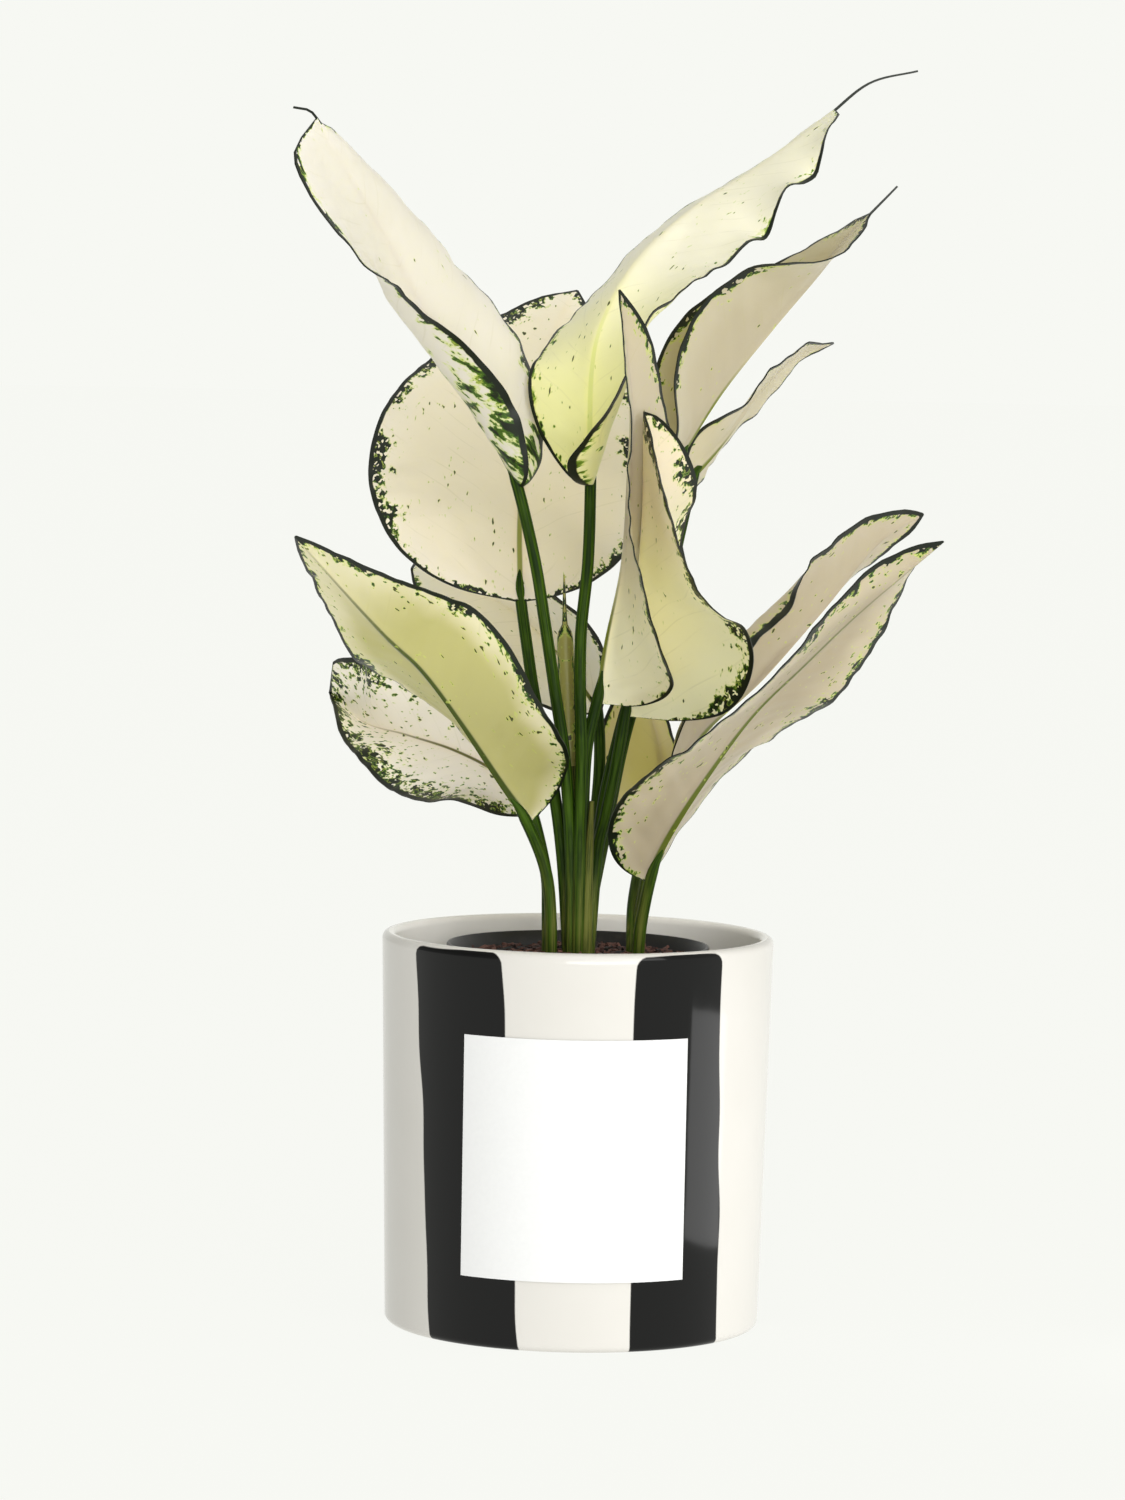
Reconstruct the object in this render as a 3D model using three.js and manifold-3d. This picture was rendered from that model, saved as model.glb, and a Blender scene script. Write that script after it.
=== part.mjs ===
// A potted white joy chinese evergreen: a striped ceramic planter with a blank label,
// a black grower pot of potting mix standing in it, and a plant of three stems with
// thirteen cream leaves and one leaf still rolled up.
// Millimetres, +Z up. The origin is the middle of the planter's flat base.
// +X is to the right as the plant is looked at, and -Y is its front.

import * as THREE from "three";
import { mergeVertices } from "three/addons/utils/BufferGeometryUtils.js";
import Module from "manifold-3d";

const wasm = await Module();
wasm.setup();

// Driving dimensions of the planter.
const PLANTER_HEIGHT = 140;
const PLANTER_TOP_RADIUS = 70;
const PLANTER_FOOT_RADIUS = 67;
const PLANTER_WALL = 5;
const PLANTER_FLOOR = 9;
const PLANTER_FOOT_FILLET = 2.5;
const PLANTER_RIM_ROUND = PLANTER_WALL / 2;
const PLANTER_INNER_FILLET = 6;
const PLANTER_SEGMENTS = 60;

// The label is a nearly square sheet of paper that follows the front of the planter's wall.
const LABEL_LOW = 25;
const LABEL_HEIGHT = 85;
const LABEL_WIDTH = 82.4;
const LABEL_SEGMENTS = 12;
const LABEL_STANDOFF = 0.4;
const LABEL_THICKNESS = 0.4;

// The grower pot stands on the planter's floor, and the potting mix fills it.
const GROWER_RIM_Z = 136;
const GROWER_TOP_RADIUS = 47;
const GROWER_BASE_RADIUS = 38;
const GROWER_WALL = 1.4;
const GROWER_LIP = 2;
const GROWER_LIP_HEIGHT = 7;
const GROWER_SEGMENTS = 40;
const SOIL_TOP_Z = 131;
const SOIL_CROWN = 2;
const SOIL_LUMP = 0.5;

// Clearance between pieces that touch on the real thing.
const GAP = 0.3;

// The leaves: sheet thickness, grid of cells, and the ridge of the midrib below.
const BLADE_THICKNESS = 0.9;
const BLADE_ROW_STEP = 8;
const BLADE_ROW_CROWDING = 1.25;
const BLADE_COLUMNS = [-1, -0.74, -0.42, -0.12, 0, 0.12, 0.42, 0.74, 1];
const RIB_DEPTH_AT_BASE = 2.4;
const RIB_DEPTH_AT_TIP = 0.2;
const BLADE_END_WIDTH = 1.2;
const BLADE_TIP_WIDTH = 0.5;
const BLEND_REACH = 5;
const NO_CURL = [0, 0];
const NO_WAVE = [0, 0];
const WAVE_START = 0.45;
const WAVE_FULL = 0.62;

// The leaf stalks, and the stumps in which they join below the potting mix's surface.
const STALK_SIDES = 8;
const STALK_ROW_STEP = 12;
const STALK_FOOT_RADIUS = 2.3;
const STALK_TOP_RADIUS = 1.9;
const STALK_NECK = 5;
const STUMP_FOOT_Z = 104;
const STUMP_TOP_Z = 133;
const STUMP_SIDES = 16;

const COLOUR = {
  glaze: "#efece6",
  paper: "#fbfbfa",
  grower: "#1b1a1a",
  soil: "#2c1f1d",
  stalk: "#35591a",
  cream: "#e6dfc4",
  yellow: "#edeca9",
  lime: "#cdcf8b",
  tan: "#cfc5a0",
  blush: "#e6dac8",
  spear: "#b9b65a",
};

const AWAY = new THREE.Vector3(0, 1, 0);

/** A lathe round the Z axis from a profile of [radius, height] pairs. */
function turned(profile, segments) {
  const points = profile.map(([radius, height]) => new THREE.Vector2(radius, height));
  const geometry = new THREE.LatheGeometry(points, segments);
  geometry.rotateX(Math.PI / 2);
  return geometry;
}

/** The points of a quarter round from one angle to another, as [radius, height] pairs. */
function arc(centreRadius, centreHeight, radius, fromDegrees, toDegrees, steps) {
  return Array.from({ length: steps + 1 }, (_, step) => {
    const angle = THREE.MathUtils.degToRad(
      fromDegrees + ((toDegrees - fromDegrees) * step) / steps,
    );
    return [centreRadius + radius * Math.cos(angle), centreHeight + radius * Math.sin(angle)];
  });
}

/** A geometry as a manifold solid, with its doubled vertices merged. */
function solid(geometry) {
  const bare = geometry.clone();
  bare.deleteAttribute("normal");
  bare.deleteAttribute("uv");
  const merged = mergeVertices(bare, 1e-4);
  return new wasm.Manifold(
    new wasm.Mesh({
      numProp: 3,
      vertProperties: new Float32Array(merged.attributes.position.array),
      triVerts: new Uint32Array(merged.index.array),
    }),
  );
}

/** A manifold solid back as a geometry. */
function geometryOf(manifold) {
  const mesh = manifold.getMesh();
  const geometry = new THREE.BufferGeometry();
  geometry.setAttribute("position", new THREE.BufferAttribute(mesh.vertProperties, 3));
  geometry.setIndex(new THREE.BufferAttribute(mesh.triVerts, 1));
  geometry.computeVertexNormals();
  return geometry;
}

/** A named mesh with a material of its own. */
function piece(name, geometry, color, roughness) {
  const material = new THREE.MeshStandardMaterial({ color, roughness, metalness: 0 });
  const mesh = new THREE.Mesh(geometry, material);
  mesh.name = name;
  return mesh;
}

/** The planter's outer radius at a height between its foot round and its rim. */
function planterRadius(height) {
  const wallHeight = PLANTER_HEIGHT - PLANTER_RIM_ROUND - PLANTER_FOOT_FILLET;
  const along = (height - PLANTER_FOOT_FILLET) / wallHeight;
  return THREE.MathUtils.lerp(PLANTER_FOOT_RADIUS, PLANTER_TOP_RADIUS, along);
}

/** The glazed planter: flat base, small foot round, thick wall and a rounded rim. */
function planter() {
  const innerFoot = planterRadius(PLANTER_FLOOR) - PLANTER_WALL;
  const foot = [PLANTER_FOOT_RADIUS - PLANTER_FOOT_FILLET, PLANTER_FOOT_FILLET];
  const rim = [PLANTER_TOP_RADIUS - PLANTER_RIM_ROUND, PLANTER_HEIGHT - PLANTER_RIM_ROUND];
  const well = [innerFoot - PLANTER_INNER_FILLET, PLANTER_FLOOR + PLANTER_INNER_FILLET];
  const profile = [
    [0, 0],
    ...arc(...foot, PLANTER_FOOT_FILLET, -90, 0, 3),
    ...arc(...rim, PLANTER_RIM_ROUND, 0, 180, 5),
    ...arc(...well, PLANTER_INNER_FILLET, 0, -90, 3),
    [0, PLANTER_FLOOR],
  ];
  return turned(profile, PLANTER_SEGMENTS);
}

/** The blank label: a thin sheet bent round the front of the planter. */
function label() {
  const positions = [];
  for (const standoff of [LABEL_STANDOFF, LABEL_STANDOFF + LABEL_THICKNESS]) {
    for (const height of [LABEL_LOW, LABEL_LOW + LABEL_HEIGHT]) {
      const radius = planterRadius(height) + standoff;
      for (let column = 0; column <= LABEL_SEGMENTS; column += 1) {
        const along = LABEL_WIDTH * (column / LABEL_SEGMENTS - 0.5);
        const angle = -Math.PI / 2 + along / radius;
        positions.push(radius * Math.cos(angle), radius * Math.sin(angle), height);
      }
    }
  }
  return closedSheet(positions, 1, LABEL_SEGMENTS);
}

/**
 * Joins two grids of vertices, the back one first, into a closed sheet. Both faces are
 * split into triangles along the same diagonals.
 */
function closedSheet(positions, rows, columns) {
  const width = columns + 1;
  const face = width * (rows + 1);
  const at = (layer, row, column) => layer * face + row * width + column;
  const index = [];
  for (let row = 0; row < rows; row += 1) {
    for (let column = 0; column < columns; column += 1) {
      const corners = [
        [row, column],
        [row, column + 1],
        [row + 1, column + 1],
        [row + 1, column],
      ];
      const [a, b, c, d] = corners.map(([r, k]) => at(1, r, k));
      const [e, f, g, h] = corners.map(([r, k]) => at(0, r, k));
      index.push(a, b, c, a, c, d, e, g, f, e, h, g);
    }
  }
  const rim = [];
  for (let column = 0; column < columns; column += 1) rim.push([0, column]);
  for (let row = 0; row < rows; row += 1) rim.push([row, columns]);
  for (let column = columns; column > 0; column -= 1) rim.push([rows, column]);
  for (let row = rows; row > 0; row -= 1) rim.push([row, 0]);
  rim.forEach(([row, column], step) => {
    const [nextRow, nextColumn] = rim[(step + 1) % rim.length];
    const [a, b] = [at(0, row, column), at(0, nextRow, nextColumn)];
    const [c, d] = [at(1, nextRow, nextColumn), at(1, row, column)];
    index.push(a, b, c, a, c, d);
  });
  const geometry = new THREE.BufferGeometry();
  geometry.setAttribute("position", new THREE.Float32BufferAttribute(positions, 3));
  geometry.setIndex(index);
  geometry.computeVertexNormals();
  return geometry;
}

/** The black grower pot: a thin tapered cup with a lip. */
function growerPot() {
  const foot = PLANTER_FLOOR + GAP;
  const lipZ = GROWER_RIM_Z - GROWER_LIP_HEIGHT;
  return turned(
    [
      [0, foot],
      [GROWER_BASE_RADIUS, foot],
      [GROWER_TOP_RADIUS - GROWER_LIP, lipZ],
      [GROWER_TOP_RADIUS, lipZ],
      [GROWER_TOP_RADIUS, GROWER_RIM_Z],
      [GROWER_TOP_RADIUS - GROWER_WALL, GROWER_RIM_Z],
      [GROWER_TOP_RADIUS - GROWER_LIP - GROWER_WALL, lipZ],
      [GROWER_BASE_RADIUS - GROWER_WALL, foot + GROWER_WALL],
      [0, foot + GROWER_WALL],
    ],
    GROWER_SEGMENTS,
  );
}

/** A smooth curve through points in space, first to last. */
function curve(points) {
  const vectors = points.map((point) => new THREE.Vector3(...point));
  return new THREE.CatmullRomCurve3(vectors, false, "catmullrom", 0.5);
}

/** A value that runs smoothly through evenly spaced keys as t goes from 0 to 1. */
function keyed(keys, t) {
  return curve(keys.map((key) => [key, 0, 0])).getPoint(t).x;
}

/** How wide half a blade is at t, as a share of its reach: round base, drawn-out tip. */
function outline(t, roundness, taper) {
  const widest = roundness / (roundness + taper);
  const grow = (t / widest) ** roundness;
  const shrink = (Math.max(0, 1 - t) / (1 - widest)) ** taper;
  return grow * shrink;
}

/**
 * The local axes of a leaf at t. Looked at from the front, left is the side on the left
 * hand of someone who walks the midrib from base to tip, and near points to the front.
 */
function axesAt(rib, t) {
  const tangent = rib.getTangentAt(t);
  const left = new THREE.Vector3().crossVectors(tangent, AWAY).normalize();
  const near = new THREE.Vector3().crossVectors(tangent, left);
  return { left, near };
}

/**
 * One half of a blade at t: its width, the angle by which it turns towards the front as
 * it leaves the midrib, and how much further it turns by its margin, in radians.
 */
function halfAt(leaf, half, t) {
  const floor = THREE.MathUtils.lerp(BLADE_END_WIDTH, BLADE_TIP_WIDTH, t);
  const [roundness, taper, tail = 0] = half.outline ?? leaf.outline;
  const [depth, count] = half.wave ?? NO_WAVE;
  const fade = THREE.MathUtils.smoothstep(t, WAVE_START, WAVE_FULL);
  return {
    width: Math.max(floor, half.reach * outline(t / (1 - tail), roundness, taper)),
    turn: THREE.MathUtils.degToRad(keyed(half.turn, t)),
    curl: THREE.MathUtils.degToRad(keyed(half.curl ?? NO_CURL, t)),
    ripple: THREE.MathUtils.degToRad(fade * depth * Math.sin(2 * Math.PI * count * t)),
  };
}

/** The leaf's blade: two halves that leave the midrib at their own angles. */
function blade(leaf) {
  const rib = curve(leaf.rib);
  const rows = Math.round(rib.getLength() / BLADE_ROW_STEP);
  const layers = [[], []];
  for (let row = 0; row <= rows; row += 1) {
    const t = (row / rows) ** BLADE_ROW_CROWDING;
    const middle = rib.getPointAt(t);
    const { left, near } = axesAt(rib, t);
    const halves = [halfAt(leaf, leaf.left, t), halfAt(leaf, leaf.right, t)];
    const normalOf = (side, angle) =>
      near
        .clone()
        .multiplyScalar(Math.cos(angle))
        .addScaledVector(left, side * Math.sin(angle));
    const ribNormal = normalOf(-1, halves[0].turn).add(normalOf(1, halves[1].turn));
    ribNormal.normalize();
    const ribDepth = THREE.MathUtils.lerp(RIB_DEPTH_AT_BASE, RIB_DEPTH_AT_TIP, t);
    for (const across of BLADE_COLUMNS) {
      const side = across < 0 ? -1 : 1;
      const share = Math.abs(across);
      const { width, turn, curl, ripple } = halves[side < 0 ? 0 : 1];
      const chord = turn + (curl * share) / 2 + ripple * share ** 2;
      const slope = turn + curl * share + ripple * share ** 2;
      const point = middle
        .clone()
        .addScaledVector(left, -side * width * share * Math.cos(chord))
        .addScaledVector(near, width * share * Math.sin(chord));
      const blend = Math.min(1, (share * width) / BLEND_REACH);
      const normal = ribNormal
        .clone()
        .lerp(normalOf(side, slope), blend)
        .normalize();
      const half = BLADE_THICKNESS / 2;
      const keel = across === 0 ? ribDepth : 0;
      const [behind, before] = leaf.faces > 0 ? [half + keel, half] : [half, half + keel];
      layers[0].push(...point.clone().addScaledVector(normal, -behind).toArray());
      layers[1].push(...point.clone().addScaledVector(normal, before).toArray());
    }
  }
  return closedSheet(layers.flat(), rows, BLADE_COLUMNS.length - 1);
}

/**
 * A closed tapered stalk along a curve: a cylinder whose rings are carried onto it. Its
 * radius runs from one value at the foot to another at the top.
 */
function stalk(points, footRadius, topRadius) {
  const line = curve(points);
  const rows = Math.ceil(line.getLength() / STALK_ROW_STEP);
  const geometry = new THREE.CylinderGeometry(topRadius, footRadius, 1, STALK_SIDES, rows);
  const place = geometry.attributes.position;
  const offset = new THREE.Vector3();
  for (let vertex = 0; vertex < place.count; vertex += 1) {
    offset.fromBufferAttribute(place, vertex);
    const t = THREE.MathUtils.clamp(offset.y + 0.5, 0, 1);
    const { left, near } = axesAt(line, t);
    const spot = line
      .getPointAt(t)
      .addScaledVector(left, offset.x)
      .addScaledVector(near, -offset.z);
    place.setXYZ(vertex, ...spot.toArray());
  }
  return geometry;
}

/** A leaf's stalk: up from the stump, then in line with the midrib to just short of it. */
function leafStalk(leaf) {
  const rib = curve(leaf.rib);
  const back = (distance) =>
    rib.getPointAt(0).addScaledVector(rib.getTangentAt(0), -distance).toArray();
  return stalk(
    [...leaf.stalk, back(STALK_NECK), back(GAP)],
    STALK_FOOT_RADIUS,
    STALK_TOP_RADIUS,
  );
}

/** A round post in the potting mix, as wide as a stem's stump or as the hole round it. */
function post(stem, clearance, topZ) {
  const footZ = STUMP_FOOT_Z - clearance;
  const radius = stem.radius + clearance;
  const geometry = new THREE.CylinderGeometry(radius, radius, topZ - footZ, STUMP_SIDES);
  geometry.rotateX(Math.PI / 2);
  geometry.translate(stem.at[0], stem.at[1], (topZ + footZ) / 2);
  return geometry;
}

/** A stem: its stump, the stalks of its leaves and its sheaths, grown together. */
function stemBody(stem) {
  const stalks = LEAVES.filter((leaf) => leaf.stem === stem.name).map(leafStalk);
  const sheaths = (stem.sheaths ?? []).map(({ points, foot, top }) => stalk(points, foot, top));
  const joined = [post(stem, 0, STUMP_TOP_Z), ...stalks, ...sheaths]
    .map(solid)
    .reduce((whole, one) => whole.add(one));
  return geometryOf(joined);
}

/** The potting mix: it fills the grower pot, with a lumpy crown and a hole for each stem. */
function pottingMix() {
  const foot = PLANTER_FLOOR + GAP + GROWER_WALL + GAP;
  const shoulderZ = GROWER_RIM_Z - GROWER_LIP_HEIGHT;
  const shoulder = GROWER_TOP_RADIUS - GROWER_LIP - GROWER_WALL - GAP;
  const crownRings = [0.96, 0.85, 0.68, 0.5, 0.32, 0.15];
  const crown = crownRings.map((share) => [
    shoulder * share,
    SOIL_TOP_Z + SOIL_CROWN * (1 - share ** 2),
  ]);
  const body = turned(
    [
      [0, foot],
      [GROWER_BASE_RADIUS - GROWER_WALL - GAP, foot],
      [shoulder, shoulderZ],
      [shoulder, SOIL_TOP_Z],
      ...crown,
      [0, SOIL_TOP_Z + SOIL_CROWN],
    ],
    GROWER_SEGMENTS,
  );
  const place = body.attributes.position;
  for (let vertex = 0; vertex < place.count; vertex += 1) {
    const [x, y, z] = [place.getX(vertex), place.getY(vertex), place.getZ(vertex)];
    const lump = SOIL_LUMP * Math.sin(x / 3 + 2 * Math.sin(y / 7)) * Math.cos(y / 3.4);
    if (z > SOIL_TOP_Z + 0.1) place.setZ(vertex, z + lump);
  }
  const holeTopZ = SOIL_TOP_Z + SOIL_CROWN + 2 * SOIL_LUMP;
  const drilled = STEMS.reduce(
    (whole, stem) => whole.subtract(solid(post(stem, GAP, holeTopZ))),
    solid(body),
  );
  return geometryOf(drilled);
}

// The leaves. The midrib's points run from the blade's base to its tip, and its stalk's
// from the stump to just below the blade. An outline is its roundness at the base, its
// taper to the tip, and the share of the length that is a bare tail. A half's reach is its
// widest point, its turn is in degrees towards the front from base to tip, its curl is the
// further turn by the margin, and its wave is degrees and ripples. faces is 1 where the
// upper side looks to the front, and -1 where the underside does.
const LEAVES = [
  {
    name: "leaf_upper_left",
    stem: "stem_centre",
    color: COLOUR.cream,
    faces: 1,
    outline: [0.5, 0.6, 0.07],
    rib: [
      [-23, -10, 299],
      [-39, -6, 326],
      [-56, -11, 355],
      [-71, -20, 383],
      [-82, -34, 402],
      [-91, -43, 417],
      [-97, -46, 428],
      [-104, -46, 430],
    ],
    left: {
      reach: 32,
      turn: [74, 52, 40, 32, 24, 44, 50, 53, 50],
      curl: [130, 160, 158, 148, 130, 74, 36, 12, 0],
      outline: [0.5, 0.2, 0.07],
    },
    right: { reach: 34, turn: [-10, -3, -15, -36, -50], curl: [-70, -75, -95, -85, -50] },
    stalk: [
      [-2, -6.5, 128],
      [-3, -8, 167],
      [-6, -10, 203],
      [-10, -11, 228],
      [-14, -12, 252],
      [-18, -11, 274],
    ],
  },
  {
    name: "leaf_back_round",
    stem: "stem_centre",
    color: COLOUR.tan,
    faces: 1,
    outline: [0.45, 0.9],
    rib: [
      [-23, 12, 258],
      [-24, 30, 286],
      [-23, 60, 315],
      [-18, 95, 340],
      [-11, 128, 359],
      [-5, 150, 370],
    ],
    left: { reach: 56, turn: [10, 0, -8, -18, -22] },
    right: { reach: 48, turn: [0, -18, -10, 3, 2] },
    stalk: [
      [-2.5, -4, 128],
      [-6, -2, 166],
      [-11, 1, 198],
      [-17, 6, 223],
      [-20, 9, 240],
    ],
  },
  {
    name: "leaf_upper_right",
    stem: "stem_centre",
    color: COLOUR.yellow,
    faces: 1,
    outline: [0.5, 0.5, 0.16],
    rib: [
      [1, -8, 300],
      [1, -9, 341],
      [6, 0, 362],
      [18, 12, 382],
      [37, 24, 400],
      [58, 34, 414],
      [82, 42, 432],
      [99, 48, 446],
      [117, 50, 451],
    ],
    left: { reach: 32, turn: [-30, -22, -56, -80, -86, -88, -90, -87, -84] },
    right: {
      reach: 36,
      turn: [10, 12, 14, 24, 38, 56, 65, 72, 80],
      curl: [260, 130, 90, 55, 20, 0, 0, 0, 0],
      wave: [9, 6.6],
    },
    stalk: [
      [0, -7.5, 128],
      [0, -10, 167],
      [0, -11, 203],
      [-1, -11, 228],
      [-1, -11, 249],
      [1, -10, 274],
    ],
  },
  {
    name: "leaf_centre_upright",
    stem: "stem_centre",
    color: COLOUR.blush,
    faces: 1,
    outline: [0.3, 0.8],
    rib: [
      [6, -5, 223],
      [9, -11, 244],
      [14, -19, 272],
      [15, -30, 302],
      [15, -42, 331],
      [10, -55, 369],
    ],
    left: { reach: 32, turn: [178, 118, 92, 88, 88] },
    right: { reach: 30, turn: [-90, -78, -52, -52, -5] },
    stalk: [
      [1.5, -6.5, 128],
      [1, -6, 163],
      [1, -6, 188],
      [2, -6, 208],
    ],
  },
  {
    name: "leaf_centre_right",
    stem: "stem_centre",
    color: COLOUR.cream,
    faces: 1,
    outline: [0.3, 0.6],
    rib: [
      [16, 5, 218],
      [20, -2, 242],
      [20, -11, 267],
      [20.5, -22, 292],
      [19.5, -40, 327],
    ],
    left: { reach: 44, turn: [185, 172, 160, 145, 125, 115, 109, 106, 103] },
    right: { reach: 29, turn: [-68, -50, -45, -52, -58, -44, -26, -18, -15] },
    stalk: [
      [3, -4, 128],
      [6, -1, 166],
      [9, 1, 182],
      [12, 3, 198],
    ],
  },
  {
    name: "leaf_front_left",
    stem: "stem_left",
    color: COLOUR.lime,
    faces: -1,
    outline: [0.45, 0.85],
    rib: [
      [-18, -14, 181],
      [-27, -20, 194],
      [-42, -34, 217],
      [-56, -48, 236],
      [-70, -60, 250],
      [-99, -84, 283],
    ],
    left: { reach: 32, turn: [-90, -80, -59, -62, -58] },
    right: { reach: 34, turn: [-5, 22, 34, 35, 22, 18, 28, 36, 36] },
    stalk: [
      [-9.5, -7, 128],
      [-10, -10, 148],
      [-12.5, -11.5, 165],
    ],
  },
  {
    name: "leaf_front_right",
    stem: "stem_right",
    color: COLOUR.blush,
    faces: -1,
    outline: [0.4, 0.75],
    rib: [
      [24, -16, 161],
      [30, -22, 176],
      [41, -34, 196],
      [58, -50, 222],
      [76, -66, 242],
      [94, -80, 261],
      [121, -98, 286],
    ],
    left: { reach: 30, turn: [15, 48, 76, 68, 10] },
    right: { reach: 30, turn: [-80, -72, -50, -56, -115] },
    stalk: [
      [21, -7, 128],
      [21.8, -9.2, 138],
      [22.8, -12, 148],
    ],
  },
  {
    name: "leaf_second_right",
    stem: "stem_centre",
    color: COLOUR.tan,
    faces: -1,
    outline: [0.5, 0.6, 0.12],
    rib: [
      [32, 32, 310],
      [47, 34, 334],
      [65, 36, 357],
      [81, 38, 376],
      [93, 39, 391],
      [110, 40, 409],
    ],
    left: { reach: 30, turn: [78, 38, 41, 97, 100] },
    right: { reach: 30, turn: [-150, -162, -138, -110, -95] },
    stalk: [
      [3, -3, 128],
      [7, 3, 177],
      [13, 10, 209],
      [22, 20, 244],
      [28, 28, 284],
    ],
  },
  {
    name: "leaf_narrow_right",
    stem: "stem_centre",
    color: COLOUR.tan,
    faces: -1,
    outline: [0.5, 0.8],
    rib: [
      [37, 44, 302],
      [49, 60, 316],
      [63, 80, 334],
      [78, 96, 348],
      [91, 104, 352],
    ],
    left: { reach: 22, turn: [35, 82, 84, 88, 84] },
    right: { reach: 22, turn: [-62, -80, -80, -68, -65] },
    stalk: [
      [1.5, -3, 128],
      [3, -1, 142],
      [9, 6, 176],
      [16, 16, 212],
      [27, 28, 248],
      [34, 36, 282],
    ],
  },
  {
    name: "leaf_back_low",
    stem: "stem_centre",
    color: COLOUR.blush,
    faces: 1,
    outline: [0.5, 0.8],
    rib: [
      [6, 24, 218],
      [-9, 42, 237],
      [-27, 62, 252],
      [-48, 82, 261],
      [-65, 98, 265],
    ],
    left: { reach: 30, turn: [35, 35, 35, 35, 35] },
    right: { reach: 30, turn: [38, 59, 72, 72, 48] },
    stalk: [
      [0.3, -2.5, 128],
      [1.2, 0, 142],
      [4, 8, 166],
      [6.5, 17, 198],
    ],
  },
  {
    name: "leaf_low_left",
    stem: "stem_left",
    color: COLOUR.blush,
    faces: 1,
    outline: [0.5, 0.6],
    rib: [
      [-16, 2, 182],
      [-29, 22, 194],
      [-46, 44, 201],
      [-65, 66, 205],
      [-81, 84, 208],
      [-95, 100, 218],
    ],
    left: { reach: 30, turn: [60, 66, 57, 75, 80], outline: [0.5, 0.9] },
    right: { reach: 28, turn: [-25, -15, 0, 25, 50], outline: [0.5, 0.25] },
    stalk: [
      [-10.5, -6, 128],
      [-11, -3, 148],
      [-12, -1, 162],
    ],
  },
  {
    name: "leaf_mid_right",
    stem: "stem_right",
    color: COLOUR.tan,
    faces: -1,
    outline: [0.5, 0.8],
    rib: [
      [31, 22, 190],
      [43, 32, 210],
      [65, 44, 230],
      [87, 56, 255],
      [107, 64, 279],
      [124, 70, 290],
    ],
    left: {
      reach: 33,
      turn: [72, 40, 5, -16, -14, 22, 44, 48, 40],
      curl: [0, 60, 130, 165, 168, 70, 15, 0, 0],
    },
    right: { reach: 28, turn: [-45, -82, -90, -86, -35] },
    stalk: [
      [20, -4, 128],
      [20.5, -2, 138],
      [23, 5, 152],
      [26.5, 14, 170],
    ],
  },
  {
    name: "leaf_low_centre",
    stem: "stem_right",
    color: COLOUR.tan,
    faces: 1,
    outline: [0.5, 0.8],
    rib: [
      [22, 22, 160],
      [29, 32, 182],
      [29, 42, 199],
      [25, 56, 215],
      [20, 72, 232],
    ],
    left: { reach: 28, turn: [60, 26, 32, 60, 72] },
    right: { reach: 10, turn: [-60, -56, -50, -32, 0] },
    stalk: [
      [19.5, -4.5, 128],
      [19.3, -1.5, 139],
      [19.6, 9, 150],
    ],
  },
  {
    name: "leaf_spear",
    stem: "stem_centre",
    color: COLOUR.spear,
    rolled: { foot: 2.5, top: 0.4 },
    rib: [
      [-4, -2, 204],
      [-6.4, -1, 240],
      [-7.5, 0, 268],
    ],
    stalk: [
      [-0.5, -4, 128],
      [-1.5, -3.4, 165],
    ],
  },
];

// The three stems: where each stump stands, its radius and its pale sheaths.
const STEMS = [
  { name: "stem_left", at: [-10.5, -6.5], radius: 3.8 },
  {
    name: "stem_centre",
    at: [0.5, -4.5],
    radius: 6,
    sheaths: [
      {
        points: [
          [2, -5.5, 128],
          [3, -8, 160],
          [4, -8, 188],
        ],
        foot: 3.4,
        top: 0.9,
      },
    ],
  },
  { name: "stem_right", at: [20, -5], radius: 6.2 },
];

/** A leaf's own solid: an open blade, or the tapered roll of one that is still closed. */
function leafBody(leaf) {
  if (!leaf.rolled) return blade(leaf);
  return stalk(leaf.rib, leaf.rolled.foot, leaf.rolled.top);
}

const part = new THREE.Group();
part.name = "potted_chinese_evergreen";
part.add(piece("planter", planter(), COLOUR.glaze, 0.15));
part.add(piece("label", label(), COLOUR.paper, 0.6));
part.add(piece("grower_pot", growerPot(), COLOUR.grower, 0.6));
part.add(piece("potting_mix", pottingMix(), COLOUR.soil, 0.95));
for (const stem of STEMS) part.add(piece(stem.name, stemBody(stem), COLOUR.stalk, 0.5));
for (const leaf of LEAVES) part.add(piece(leaf.name, leafBody(leaf), leaf.color, 0.45));

export default part;
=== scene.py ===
"""The looks of a potted white joy chinese evergreen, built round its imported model.

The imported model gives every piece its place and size. This script lays the finished surfaces over
it: the glazed and striped planter, its blank label, the potting mix, the leaf stalks and the
variegated blades. Sizes are in millimetres, and turn to metres where a mesh is finished.
"""

import bisect
import logging
import math
import random
from collections.abc import Callable, Sequence
from dataclasses import dataclass, field
from enum import Enum
from typing import Any

import bmesh
import bpy
from mathutils import Matrix, Vector, noise


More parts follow.
